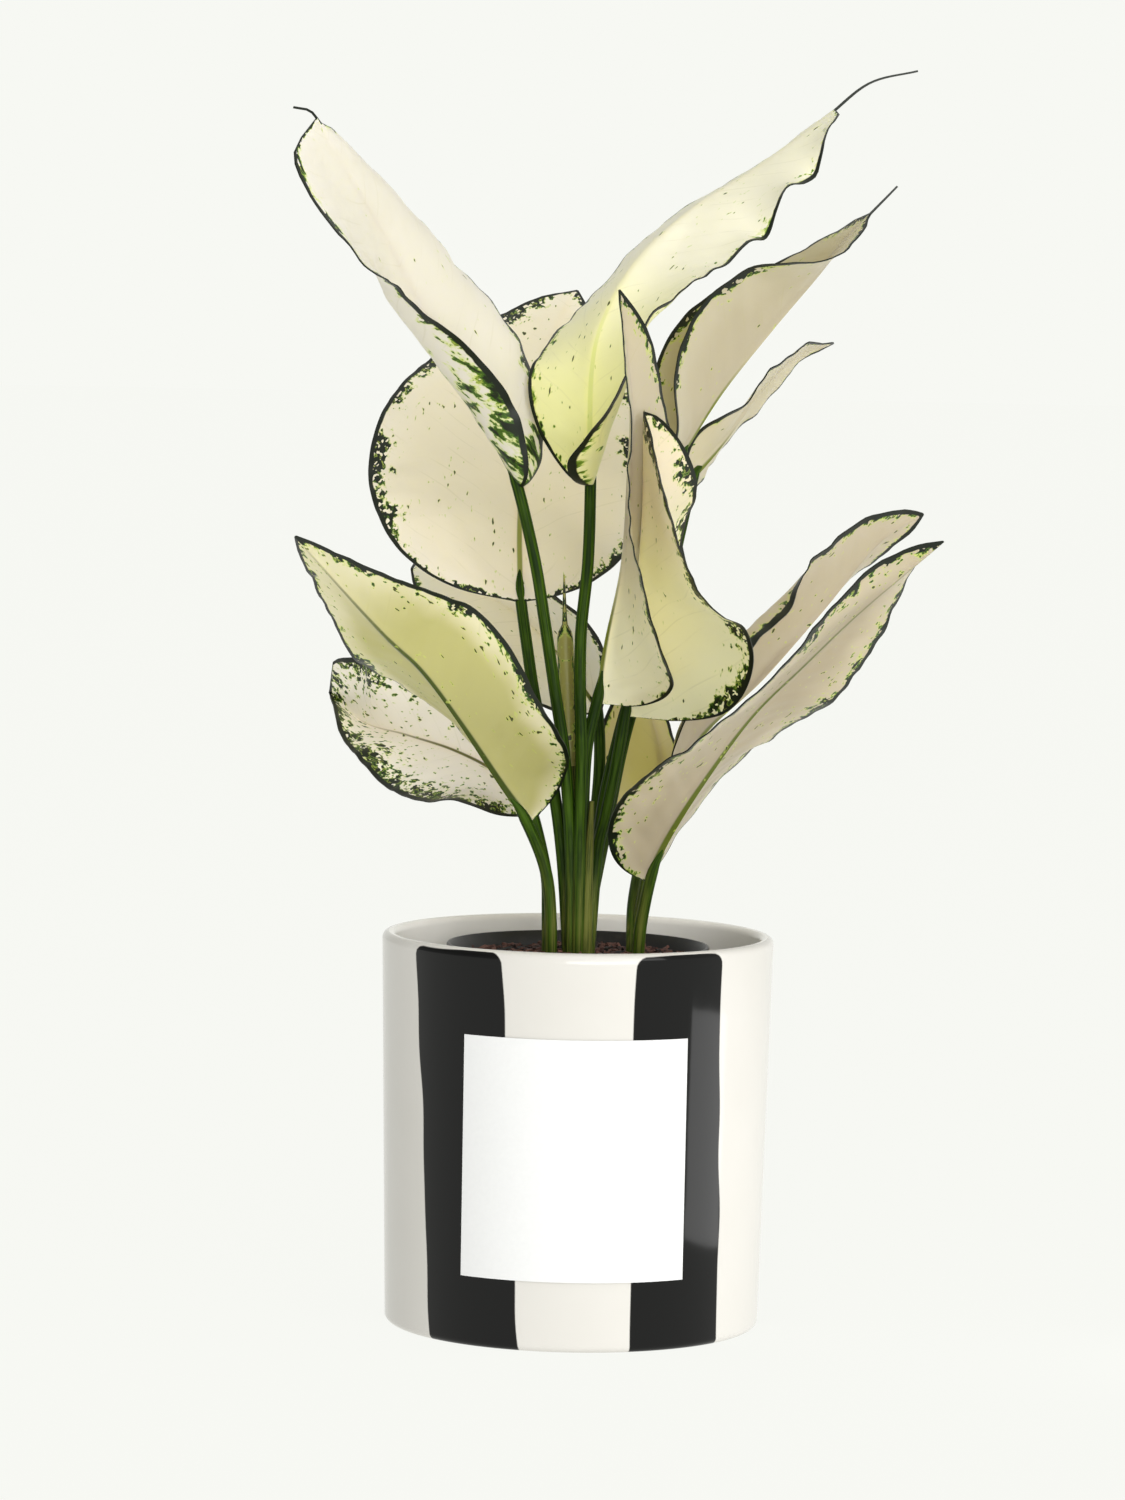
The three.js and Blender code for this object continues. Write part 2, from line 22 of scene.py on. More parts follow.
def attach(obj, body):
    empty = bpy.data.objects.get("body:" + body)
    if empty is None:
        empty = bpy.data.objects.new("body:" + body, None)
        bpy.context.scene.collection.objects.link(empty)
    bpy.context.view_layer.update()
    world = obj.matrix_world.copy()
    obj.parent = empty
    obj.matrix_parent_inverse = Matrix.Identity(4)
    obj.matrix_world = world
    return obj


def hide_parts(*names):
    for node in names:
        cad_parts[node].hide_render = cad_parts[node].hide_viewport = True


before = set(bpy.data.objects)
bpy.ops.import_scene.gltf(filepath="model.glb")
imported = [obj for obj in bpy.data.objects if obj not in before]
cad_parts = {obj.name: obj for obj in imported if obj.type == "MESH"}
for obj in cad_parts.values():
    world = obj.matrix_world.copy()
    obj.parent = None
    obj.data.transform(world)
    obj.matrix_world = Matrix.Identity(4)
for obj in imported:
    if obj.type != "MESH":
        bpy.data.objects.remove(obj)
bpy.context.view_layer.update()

LOG = logging.getLogger("evergreen")
MM = 0.001
MERGE_MM = 1e-3
BODY = "root"
UP = Vector((0.0, 0.0, 1.0))
AWAY = Vector((0.0, 1.0, 0.0))
CRISP_ANGLE = math.radians(44)
NOISE_MIDDLE = 0.5
SMOOTH_DETAIL = 1.0
SKIN_DETAIL = 2.0
CLOUD_DETAIL = 3.0
CRUMB_DETAIL = 5.0
VEIN_STEP = 9.5
VEIN_SLANT = 0.85

Point = tuple[float, float, float]
Pair = tuple[float, float]
Keys = tuple[float, ...]


class Slot(Enum):
    """The material slots."""

    GLAZE = "glaze"
    PAPER = "label_paper"
    PLASTIC = "grower_plastic"
    SOIL = "potting_mix"
    STALK = "stalk_green"
    ROLLED = "leaf_rolled"
    CREAM = "leaf_cream"
    YELLOW = "leaf_yellow"
    LIME = "leaf_lime"
    TAN = "leaf_tan"
    BLUSH = "leaf_blush"


class Clump(Enum):
    """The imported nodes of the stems."""

    LEFT = "stem_left"
    CENTRE = "stem_centre"
    RIGHT = "stem_right"


class Front(Enum):
    """The face of a blade that looks to the front."""

    UPPER = 1
    UNDER = -1


class Kind(Enum):
    """The kinds of node in use: Blender's type, its inputs in order, its output and settings."""

    PLUS = ("Math", (0, 1), 0, {"operation": "ADD"})
    MINUS = ("Math", (0, 1), 0, {"operation": "SUBTRACT"})
    TIMES = ("Math", (0, 1), 0, {"operation": "MULTIPLY"})
    OVER = ("Math", (0, 1), 0, {"operation": "DIVIDE"})
    LARGER = ("Math", (0, 1), 0, {"operation": "MAXIMUM"})
    ABSOLUTE = ("Math", (0,), 0, {"operation": "ABSOLUTE"})
    SIGN = ("Math", (0,), 0, {"operation": "SIGN"})
    SINE = ("Math", (0,), 0, {"operation": "SINE"})
    FADE = (
        "MapRange",
        ("Value", "From Min", "From Max", "To Min", "To Max"),
        "Result",
        {"interpolation_type": "SMOOTHSTEP"},
    )
    BLEND = ("Mix", (0, 6, 7), 2, {"data_type": "RGBA"})
    MEASURE = ("Attribute", (), "Fac", {})
    PLACE = ("TexCoord", (), "Object", {})
    DIRECTION = ("TexCoord", (), "Generated", {})
    POINT = ("CombineXYZ", ("X", "Y", "Z"), 0, {})
    HEIGHT = ("SeparateXYZ", (0,), "Z", {})
    SIDE = ("SeparateXYZ", (0,), "X", {})
    NOISE = ("TexNoise", ("Vector", "Scale", "Detail", "Roughness"), "Fac", {})
    BUMP = ("Bump", ("Height", "Distance", "Strength"), 0, {})
    SURFACE = ("BsdfPrincipled", (), 0, {})
    SKY = ("Background", ("Color", "Strength"), 0, {})
    MATERIAL_END = ("OutputMaterial", ("Surface",), None, {})
    WORLD_END = ("OutputWorld", ("Surface",), None, {})


def linear(hex_colour: str) -> tuple[float, float, float, float]:
    """Turns an sRGB hex colour to linear light.

    Args:
        hex_colour: Six hex digits after a hash.

    Returns:
        The colour as linear red, green, blue and an alpha of one.
    """
    parts = [int(hex_colour[start : start + 2], 16) / 255 for start in (1, 3, 5)]
    channels = [c / 12.92 if c <= 0.04045 else ((c + 0.055) / 1.055) ** 2.4 for c in parts]
    return (*channels, 1.0)


def mix(low: float, high: float, share: float) -> float:
    """Returns the value at a share of the way from low to high."""
    return low + (high - low) * share


def smooth_step(value: float, low: float, high: float) -> float:
    """Returns 0 below low, 1 above high, and an eased value between."""
    share = min(max((value - low) / (high - low), 0.0), 1.0)
    return share * share * (3 - 2 * share)


def lump_scale(size_mm: float) -> float:
    """Returns the noise scale, in metres, whose lumps are about as large as given."""
    return 1 / (size_mm * MM)


def add_node(tree: bpy.types.NodeTree, kind: Kind, *values: Any, **extra: Any) -> Any:
    """Adds a node with its settings, its values and its links.

    Args:
        tree: The node tree it goes into.
        kind: The kind of node.
        *values: Its inputs in the kind's order, each a value or the output it is linked to.
        **extra: More settings in small letters, and more inputs by name, with capitals and
            with underscores for spaces.

    Returns:
        The output that this kind is read by, or None where it ends the tree.
    """
    blender_type, keys, output, settings = kind.value
    made = tree.nodes.new(f"ShaderNode{blender_type}")
    inputs = dict(zip(keys, values))
    for name, value in {**settings, **extra}.items():
        if name[0].isupper():
            inputs[name.replace("_", " ")] = value
        else:
            setattr(made, name, value)
    for key, value in inputs.items():
        if isinstance(value, bpy.types.NodeSocket):
            tree.links.new(value, made.inputs[key])
        else:
            made.inputs[key].default_value = value
    return None if output is None else made.outputs[output]


class Shader:
    """A material in the making."""

    def __init__(self, name: str) -> None:
        """Makes the empty material.

        Args:
            name: The material's name.
        """
        self.material = bpy.data.materials.new(name)
        self.material.use_nodes = True
        self.tree = self.material.node_tree
        self.tree.nodes.clear()

    def add(self, kind: Kind, *values: Any, **extra: Any) -> Any:
        """Adds a node to the material as add_node does, and returns its output."""
        return add_node(self.tree, kind, *values, **extra)

    def finish(self, **inputs: Any) -> bpy.types.Material:
        """Ends the material with a surface that has the given inputs, and returns it."""
        self.add(Kind.MATERIAL_END, self.add(Kind.SURFACE, **inputs))
        return self.material


def spline(values: Sequence[Any], position: float) -> Any:
    """Runs smoothly through evenly spaced values, as the part's source does.

    Args:
        values: Numbers or vectors, first to last.
        position: Where to read, from 0 at the first value to 1 at the last.

    Returns:
        The value at that position.
    """
    spans = len(values) - 1
    place = min(max(position, 0.0), 1.0) * spans
    span = min(int(place), spans - 1)
    share = place - span
    start, end = values[span], values[span + 1]
    before = values[span - 1] if span > 0 else start * 2 - end
    after = values[span + 2] if span + 2 <= spans else end * 2 - start
    leave, arrive = (end - before) * 0.5, (after - start) * 0.5
    bend = (start - end) * 2 + leave + arrive
    slope = (end - start) * 3 - leave * 2 - arrive
    return start + leave * share + slope * share**2 + bend * share**3


class Route:
    """A smooth line through points, read by the share of its length."""

    STEPS = 240
    LEAST_SPAN = 1e-9

    def __init__(self, points: Sequence[Point | Vector]) -> None:
        """Measures the line.

        Args:
            points: The points it runs through, in millimetres.
        """
        self.points = [Vector(point) for point in points]
        spots = [spline(self.points, step / self.STEPS) for step in range(self.STEPS + 1)]
        self.lengths = [0.0]
        for start, end in zip(spots, spots[1:]):
            self.lengths.append(self.lengths[-1] + (end - start).length)

    @property
    def length(self) -> float:
        """The line's whole length in millimetres."""
        return self.lengths[-1]

    def position(self, share: float) -> float:
        """Finds where the spline is read for a share of the length.

        Args:
            share: The share of the length, from 0 to 1.

        Returns:
            The position along the spline, from 0 to 1.
        """
        goal = min(max(share, 0.0), 1.0) * self.length
        step = min(max(bisect.bisect_left(self.lengths, goal) - 1, 0), self.STEPS - 1)
        span = max(self.lengths[step + 1] - self.lengths[step], self.LEAST_SPAN)
        return (step + (goal - self.lengths[step]) / span) / self.STEPS

    def spot(self, share: float) -> Vector:
        """Returns the point at a share of the length."""
        return spline(self.points, self.position(share))

    def axes(self, share: float) -> tuple[Vector, Vector]:
        """Finds the two directions that stand square to the line.

        Args:
            share: The share of its length.

        Returns:
            The line's left and its near side, as seen from the front.
        """
        middle = self.position(share)
        step = 0.5 / self.STEPS
        ahead = spline(self.points, min(middle + step, 1.0))
        behind = spline(self.points, max(middle - step, 0.0))
        heading = (ahead - behind).normalized()
        left = heading.cross(AWAY).normalized()
        return left, heading.cross(left)


@dataclass(frozen=True)
class Place:
    """A vertex's place in a sheet of vertices before it is bent into shape.

    Attributes:
        u: Its share of the width, from 0 to 1.
        v: Its share of the length, from 0 to 1.
        under: Whether it lies on the second face.
    """

    u: float
    v: float
    under: bool = False


@dataclass
class Piece:
    """A mesh in the making: a bmesh from a primitive, bent, measured and made an object.

    Attributes:
        values: The names of the values that its material reads at each vertex.
    """

    name: str
    values: tuple[str, ...] = ()
    mesh: bmesh.types.BMesh = field(default_factory=bmesh.new)
    tube_step: float = 2.5
    least_rows: int = 6

    def __post_init__(self) -> None:
        """Makes a layer for each value, while the mesh has no vertices yet."""
        for name in self.values:
            self.mesh.verts.layers.float.new(name)

    def layer(self, name: str) -> Any:
        """Returns the mesh's layer of that name, which its material can read."""
        return self.mesh.verts.layers.float[name]

    def sheet(self, columns: int, rows: int, both_faces: bool) -> list[tuple[Any, Place]]:
        """Adds a flat grid and says which place each vertex has in it.

        Args:
            columns: Cells across.
            rows: Cells along.
            both_faces: Whether a second face is extruded from the first.

        Returns:
            Each new vertex with its place.
        """
        known = set(self.mesh.verts)
        bmesh.ops.create_grid(self.mesh, x_segments=columns, y_segments=rows, size=0.5)
        fresh = [vert for vert in self.mesh.verts if vert not in known]
        places = [(vert, Place(vert.co.x + 0.5, vert.co.y + 0.5)) for vert in fresh]
        if not both_faces:
            return places
        grid = {face for vert in fresh for face in vert.link_faces}
        made = bmesh.ops.extrude_face_region(self.mesh, geom=list(grid), use_keep_orig=True)
        copies = [item for item in made["geom"] if isinstance(item, bmesh.types.BMVert)]
        places += [(vert, Place(vert.co.x + 0.5, vert.co.y + 0.5, True)) for vert in copies]
        return places

    def tube(self, route: Route, radius: Callable[[float], float], sides: int) -> list[Any]:
        """Adds a closed round tube along a route.

        Args:
            route: The line it follows.
            radius: Its radius in millimetres at a share of the length.
            sides: Faces around.

        Returns:
            The tube's vertices.
        """
        rows = max(self.least_rows, round(route.length / self.tube_step))
        places = self.sheet(sides, rows, both_faces=False)
        along, around = self.layer("along_mm"), self.layer("around")
        rings = {}
        for vert, place in places:
            row = round(place.v * rows)
            if row not in rings:
                share = row / rows
                rings[row] = (route.spot(share), *route.axes(share), radius(share))
            middle, left, near, reach = rings[row]
            angle = 2 * math.pi * place.u
            vert.co = middle + (left * math.cos(angle) + near * math.sin(angle)) * reach
            vert[along] = place.v * route.length
            vert[around] = math.sin(angle)
        seam = [vert for vert, place in places if round(place.u * sides) in (0, sides)]
        bmesh.ops.remove_doubles(self.mesh, verts=seam, dist=MERGE_MM)
        kept = [vert for vert, _ in places if vert.is_valid]
        rims = [edge for vert in kept for edge in vert.link_edges if edge.is_boundary]
        bmesh.ops.holes_fill(self.mesh, edges=list(set(rims)), sides=sides)
        return kept

    def lathe(self, outline: Sequence[Pair], steps: int) -> None:
        """Turns an outline once round the upright axis, and closes its seam and poles.

        Args:
            outline: Each point's radius and height, from pole to pole.
            steps: Steps around.
        """
        verts = [self.mesh.verts.new((radius, 0, height)) for radius, height in outline]
        edges = [self.mesh.edges.new(pair) for pair in zip(verts, verts[1:])]
        bmesh.ops.spin(
            self.mesh,
            geom=[*verts, *edges],
            axis=UP,
            cent=(0, 0, 0),
            angle=2 * math.pi,
            steps=steps,
            use_merge=True,
        )
        bmesh.ops.remove_doubles(self.mesh, verts=self.mesh.verts, dist=MERGE_MM)

    def finished(self, material: bpy.types.Material, slot: Slot, node: str) -> bpy.types.Object:
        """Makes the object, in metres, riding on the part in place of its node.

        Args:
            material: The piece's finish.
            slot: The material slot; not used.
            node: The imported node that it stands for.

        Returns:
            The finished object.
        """
        bmesh.ops.recalc_face_normals(self.mesh, faces=self.mesh.faces)
        bmesh.ops.scale(self.mesh, vec=Vector((MM, MM, MM)), verts=self.mesh.verts)
        for face in self.mesh.faces:
            face.smooth = True
        for edge in self.mesh.edges:
            edge.smooth = edge.calc_face_angle(0.0) < CRISP_ANGLE
        data = bpy.data.meshes.new(self.name)
        self.mesh.to_mesh(data)
        self.mesh.free()
        made = bpy.data.objects.new(self.name, data)
        bpy.context.scene.collection.objects.link(made)
        data.materials.append(material)
        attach(made, BODY)
        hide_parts(node)
        LOG.info("%s: %d faces", self.name, len(data.polygons))
        return made


@dataclass(frozen=True)
class GlazedStoneware:
    """Glossy off-white glaze with black brushed stripes under the same clear coat.

    A fired glaze is smooth glass: it mirrors the lamps sharply, and only its surface's slow
    waves break the reflections up. Inside the planter the glaze is painted paler: painted
    light on the inner wall, which lies in shade.
    """

    white: str = "#d3d0cb"
    shade: str = "#cdcac4"
    # Painted light: the inner wall's glaze is set paler than the outer, to light its shade.
    inside: str = "#f9f6f1"
    black: str = "#060606"
    cloud_mm: float = 30.0
    painted_light_depth: Pair = (-30.0, -32.0)
    edge_mm: float = 0.25
    wave_mm: float = 14.0
    wave_depth_mm: float = 0.12
    wave_strength: float = 0.6
    roughness: float = 0.08
    ior: float = 1.34

    def make(self) -> bpy.types.Material:
        """Builds the material.

        Returns:
            The finished material.
        """
        shader = Shader("glazed_stoneware")
        place = shader.add(Kind.PLACE)
        cloud = shader.add(Kind.NOISE, place, lump_scale(self.cloud_mm), CLOUD_DETAIL)
        ground = shader.add(Kind.BLEND, cloud, linear(self.white), linear(self.shade))
        depth = shader.add(Kind.MEASURE, attribute_name="stripe_mm")
        # Painted light: the paler glaze on the shaded inner wall.
        inside = shader.add(Kind.FADE, depth, *self.painted_light_depth)
        ground = shader.add(Kind.BLEND, inside, ground, linear(self.inside))
        painted = shader.add(Kind.FADE, depth, -self.edge_mm, self.edge_mm)
        wave = shader.add(Kind.NOISE, place, lump_scale(self.wave_mm), SMOOTH_DETAIL)
        return shader.finish(
            Base_Color=shader.add(Kind.BLEND, painted, ground, linear(self.black)),
            Roughness=self.roughness,
            IOR=self.ior,
            Normal=shader.add(Kind.BUMP, wave, self.wave_depth_mm * MM, self.wave_strength),
        )


@dataclass(frozen=True)
class LabelPaper:
    """Coated white sticker paper: even, nearly matt, with a trace of fibre."""

    white: str = "#e2e2e2"
    fibre: str = "#dcdcdc"
    fibre_mm: float = 1.6
    fibre_depth_mm: float = 0.02
    fibre_strength: float = 0.3
    roughness: float = 0.6

    def make(self) -> bpy.types.Material:
        """Builds the material.

        Returns:
            The finished material.
        """
        shader = Shader("label_paper")
        place = shader.add(Kind.PLACE)
        fibre = shader.add(Kind.NOISE, place, lump_scale(self.fibre_mm), CLOUD_DETAIL)
        return shader.finish(
            Base_Color=shader.add(Kind.BLEND, fibre, linear(self.white), linear(self.fibre)),
            Roughness=self.roughness,
            Normal=shader.add(Kind.BUMP, fibre, self.fibre_depth_mm * MM, self.fibre_strength),
        )


@dataclass(frozen=True)
class MouldedPlastic:
    """Thin black polypropylene, injection moulded, with a dull sheen and a little dust."""

    black: str = "#161514"
    dust: str = "#2e2926"
    dust_mm: float = 5.0
    dust_fade: Pair = (0.5, 0.8)
    roughness: float = 0.42

    def make(self) -> bpy.types.Material:
        """Builds the material.

        Returns:
            The finished material.
        """
        shader = Shader("moulded_polypropylene")
        place = shader.add(Kind.PLACE)
        cloud = shader.add(Kind.NOISE, place, lump_scale(self.dust_mm), CLOUD_DETAIL)
        dust = shader.add(Kind.FADE, cloud, *self.dust_fade)
        return shader.finish(
            Base_Color=shader.add(Kind.BLEND, dust, linear(self.black), linear(self.dust)),
            Roughness=self.roughness,
        )


@dataclass(frozen=True)
class DampPottingMix:
    """Damp peat and bark: nearly black, with reddish brown fibres."""

    peat: str = "#191413"
    bark: str = "#4a2f2b"
    fibre: str = "#6e4a3f"
    crumb_mm: float = 2.2
    crumb_depth_mm: float = 1.2
    crumb_strength: float = 0.8
    patch_mm: float = 5.0
    patch_fade: Pair = (0.45, 0.7)
    roughness: float = 0.85

    def make(self) -> bpy.types.Material:
        """Builds the material.

        Returns:
            The finished material.
        """
        shader = Shader("damp_potting_mix")
        place = shader.add(Kind.PLACE)
        crumb = shader.add(Kind.NOISE, place, lump_scale(self.crumb_mm), CRUMB_DETAIL)
        cloud = shader.add(Kind.NOISE, place, lump_scale(self.patch_mm), CLOUD_DETAIL)
        patch = shader.add(Kind.FADE, cloud, *self.patch_fade)
        ground = shader.add(Kind.BLEND, patch, linear(self.peat), linear(self.bark))
        chip = shader.add(Kind.FADE, shader.add(Kind.MEASURE, attribute_name="chip"), 0.0, 1.0)
        return shader.finish(
            Base_Color=shader.add(Kind.BLEND, chip, ground, linear(self.fibre)),
            Roughness=self.roughness,
            Normal=shader.add(Kind.BUMP, crumb, self.crumb_depth_mm * MM, self.crumb_strength),
        )


@dataclass(frozen=True)
class StalkSkin:
    """A fresh leaf stalk: deep green, waxy, streaked along its length and paler low down."""

    deep: str = "#162b03"
    fresh: str = "#3d590a"
    pale: str = "#6f7034"
    streaks_round: float = 3.0
    streak_mm: float = 60.0
    streak_scale: float = 2.2
    streak_detail: float = 4.0
    fresh_fade: Pair = (0.35, 0.7)
    pale_fade: Pair = (0.3, 0.6)
    rib_depth_mm: float = 0.25
    rib_strength: float = 0.5
    roughness: float = 0.55
    sheen: float = 0.12
    glow: float = 0.05
    glow_radii: Point = (0.4, 0.8, 0.2)
    glow_mm: float = 2.0

    def make(self) -> bpy.types.Material:
        """Builds the material.

        Returns:
            The finished material.
        """
        shader = Shader("waxy_stalk_skin")
        around, along, sheath = (
            shader.add(Kind.MEASURE, attribute_name=name)
            for name in ("around", "along_mm", "sheath")
        )
        place = shader.add(
            Kind.POINT,
            shader.add(Kind.TIMES, around, self.streaks_round),
            shader.add(Kind.OVER, along, self.streak_mm),
        )
        streak = shader.add(Kind.NOISE, place, self.streak_scale, self.streak_detail)
        fresh = shader.add(Kind.FADE, streak, *self.fresh_fade)
        skin = shader.add(Kind.BLEND, fresh, linear(self.deep), linear(self.fresh))
        pale = shader.add(Kind.TIMES, sheath, shader.add(Kind.FADE, streak, *self.pale_fade))
        return shader.finish(
            Base_Color=shader.add(Kind.BLEND, pale, skin, linear(self.pale)),
            Roughness=self.roughness,
            Specular_IOR_Level=self.sheen,
            Subsurface_Weight=self.glow,
            Subsurface_Radius=self.glow_radii,
            Subsurface_Scale=self.glow_mm * MM,
            Normal=shader.add(Kind.BUMP, streak, self.rib_depth_mm * MM, self.rib_strength),
        )


@dataclass(frozen=True)
class BladeSkin:
    """A white joy leaf's skin: waxy cream, edged and flecked with green.

    Attributes:
        cream: Its ground colour towards the margin. Each leaf's is set paler where it hangs in
            shade and darker where it catches much light: painted light and painted shade.
        heart: Its ground colour along the midrib, set per leaf in the same way. On the two
            upright centre leaves it covers the base, as painted light on their lobes.
        heart_end: The share of the length at which the heart's colour starts to fade.
        inset_mm: How far in from the margin the heart's colour starts.
        band_mm: How far the green patches reach in from the margin.
        fleck_mm: How far the small flecks reach in from the margin.
        flecks: How many small flecks there are, 1 being many.
        dashes: How many dashes lie on the cream, 1 being many.
        mosaic_mm: How far the mosaic reaches from the stalk, along the left half of the blade.
        rib_share: The share of the length over which the midrib stays coloured.
        rib_mm: Half the width of the coloured midrib.
        seed: Moves the pattern.
        dark: The green tissue along the margin, nearly black.
        halo: The lime tissue round each green patch.
    """

    cream: str
    heart: str
    heart_end: float = 1.0
    inset_mm: float = 7.0
    band_mm: float = 3.0
    fleck_mm: float = 4.0
    flecks: float = 0.5
    dashes: float = 0.4
    mosaic_mm: float = 0.0
    rib: str = "#6b7426"
    rib_share: float = 0.4
    rib_mm: float = 0.8
    line_mm: float = 1.45
    seed: float = 0.0
    green: str = "#3d6312"
    dark: str = "#0b1404"
    halo: str = "#bccb5c"
    dash: str = "#3b3b1a"
    vein: str = "#a9a272"


@dataclass(frozen=True)
class Lumps:
    """Noise whose lumps have that size; its shift keeps it apart from the skin's others."""

    across_mm: float
    along_mm: float
    shift: float
    detail: float = SKIN_DETAIL


@dataclass(frozen=True)
class Drift:
    """Noise that changes only along each margin, in stretches of that length."""

    length_mm: float
    shift: float


class BladePainter:
    """Paints a blade's skin in layers, each over the one before.

    The cream tissue has no green in it and is thin, so it glows where light falls through. The
    green lies in a ragged band along the margin, in small flecks and dashes, and on some leaves in
    a mosaic near the stalk. A thin line, nearly black, runs round the margin.
    """

    # The cloudy edge of the heart.
    CLOUD = Lumps(26.0, 34.0, 0.0)
    CLOUD_MM = 18.0
    HEART_EDGE_MM = (-4.0, 10.0)
    HEART_FADE = 0.35
    # The side veins, which show in some places only.
    JITTER = Lumps(45.0, 30.0, 2.0, 1.0)
    JITTER_MM = 14.0
    VEINED = Lumps(16.0, 16.0, 4.0)
    VEINED_FADE = (0.4, 0.65)
    VEIN_CREST = (0.95, 1.0)
    VEIN_STRENGTH = 0.14
    # The midrib, which slims towards the tip.
    RIB_SLIMMING = 0.9
    RIB_EDGE_MM = (0.5, -0.1)
    RIB_FADE = 0.4
    # Green tissue, darker inside and lime round it.
    HALO_END_MM = 0.3
    HALO_STRENGTH = 0.7
    DARK_MM = (0.2, 1.6)
    PATCH_EDGE_MM = (-0.1, 0.35)
    NOWHERE_MM = 9.0
    # The band along the margin, with holes in it.
    HOLES = Lumps(1.8, 2.6, 30.0, 1.0)
    HOLE_FADE = (0.55, 0.6)
    BAND_SWELL = Drift(24.0, 8.0)
    SWELL_REACH = 6.0
    RAGGED = Lumps(3.6, 6.5, 6.0, 4.0)
    RAGGED_REACH = 3.0
    RAGGED_MM = 4.0
    BAND_REACH = 0.7
    BAND_HALO_MM = 1.4
    # The flecks, which thin out away from the margin.
    FLECKS = Lumps(2.4, 4.0, 10.0)
    FLECK_LIMIT = 0.7
    FLECK_CROWD = 0.07
    FLECK_THINNING = 0.11
    BUSY = Drift(13.0, 26.0)
    BUSY_SHARE = 0.14
    FLECK_MM = 14.0
    FLECK_HALO_MM = 0.8
    # The mosaic near the stalk: on the left half, and at the base on both.
    MOSAIC = Lumps(2.6, 8.0, 12.0, 4.0)
    MOSAIC_LIMIT = 0.68
    MOSAIC_MM = 12.0
    MOSAIC_HALO_MM = 1.0
    MOSAIC_FULL = 0.1
    MOSAIC_BASE = (0.4, 0.15)
    MOSAIC_LEFT_MM = (-0.5, -1.5)
    MOSAIC_RIM_MM = (7.0, 1.0)
    MOSAIC_RIM = 0.1
    MOSAIC_NEAR = 0.17
    MOSAIC_FADE = 0.25
    # The dashes, which stand in crowds.
    CROWDS = Lumps(18.0, 24.0, 14.0)
    CROWD_FADE = (0.4, 0.62)
    CROWD_SHARE = 0.1
    DASHES = Lumps(1.7, 4.4, 16.0, 1.0)
    DASH_LIMIT = 0.84
    DASH_SHARE = 0.08
    DASH_HALO = 0.05
    DASH_HALO_STRENGTH = 0.6
    DASH_EDGE = 0.025
    # The dark line round the margin.
    LINE_SWELL = Drift(9.0, 18.0)
    LINE_LEAST = 0.5
    LINE_EDGE_MM = (0.15, -0.15)
    # The waxy surface.
    MARGIN_SIDE = 5.0
    NOISE_ROUGHNESS = 0.55
    PORES = Lumps(3.0, 3.0, 20.0)
    PORE_DEPTH = 1.2
    VEIN_DEPTH = 0.5
    RELIEF_MM = 0.12
    RELIEF_STRENGTH = 0.25
    ROUGHNESS = 0.42
    SHEEN = 0.35
    GLOW = 0.7
    GLOW_RADII = (1.0, 1.0, 0.7)
    GLOW_MM = 2.0

    def __init__(self, name: str, skin: BladeSkin) -> None:
        """Reads the blade's own measures, and starts from bare cream.

        Args:
            name: The material's name.
            skin: The colours and sizes of the pattern.
        """
        self.skin = skin
        self.shader = Shader(name)
        self.add = self.shader.add
        self.across, self.along, self.edge, self.share = (
            self.add(Kind.MEASURE, attribute_name=measure)
            for measure in ("across_mm", "along_mm", "edge_mm", "share")
        )
        self.rib_distance = self.add(Kind.ABSOLUTE, self.across)
        self.wave = self.vein_wave()
        # Starts from the leaf's cream, which carries its painted light and painted shade.
        self.colour: Any = linear(skin.cream)

    def paint(self, share: Any, colour: Any) -> None:
        """Lays a colour over what is painted so far, by a share at each place."""
        self.colour = self.add(Kind.BLEND, share, self.colour, colour)

    def noise(self, x: Any, y: Any, shift: float, detail: float) -> Any:
        """Returns noise at a place, moved by the skin's seed."""
        spot = self.add(Kind.POINT, x, y, self.skin.seed + shift)
        return self.add(Kind.NOISE, spot, 1.0, detail, self.NOISE_ROUGHNESS)

    def lumps(self, size: Lumps) -> Any:
        """Lays out noise with lumps.

        Args:
            size: The lumps' size.

        Returns:
            The noise, from 0 to 1.
        """
        across = self.add(Kind.OVER, self.across, size.across_mm)
        along = self.add(Kind.OVER, self.along, size.along_mm)
        return self.noise(across, along, size.shift, size.detail)

    def drift(self, size: Drift) -> Any:
        """Lays out noise that changes only along each margin.

        Args:
            size: The length of its stretches.

        Returns:
            The noise, from 0 to 1.
        """
        side = self.add(Kind.TIMES, self.add(Kind.SIGN, self.across), self.MARGIN_SIDE)
        along = self.add(Kind.OVER, self.along, size.length_mm)
        return self.noise(along, side, size.shift, SKIN_DETAIL)

    def vein_wave(self) -> Any:
        """Lays out the side veins, slanted forward from the midrib.

        Returns:
            A wave from -1 to 1 whose crests are the veins.
        """
        add = self.add
        slanted = add(Kind.TIMES, self.rib_distance, VEIN_SLANT)
        jitter = add(Kind.TIMES, self.lumps(self.JITTER), self.JITTER_MM)
        phase = add(Kind.PLUS, add(Kind.MINUS, self.along, slanted), jitter)
        return add(Kind.SINE, add(Kind.TIMES, phase, 2 * math.pi / VEIN_STEP))

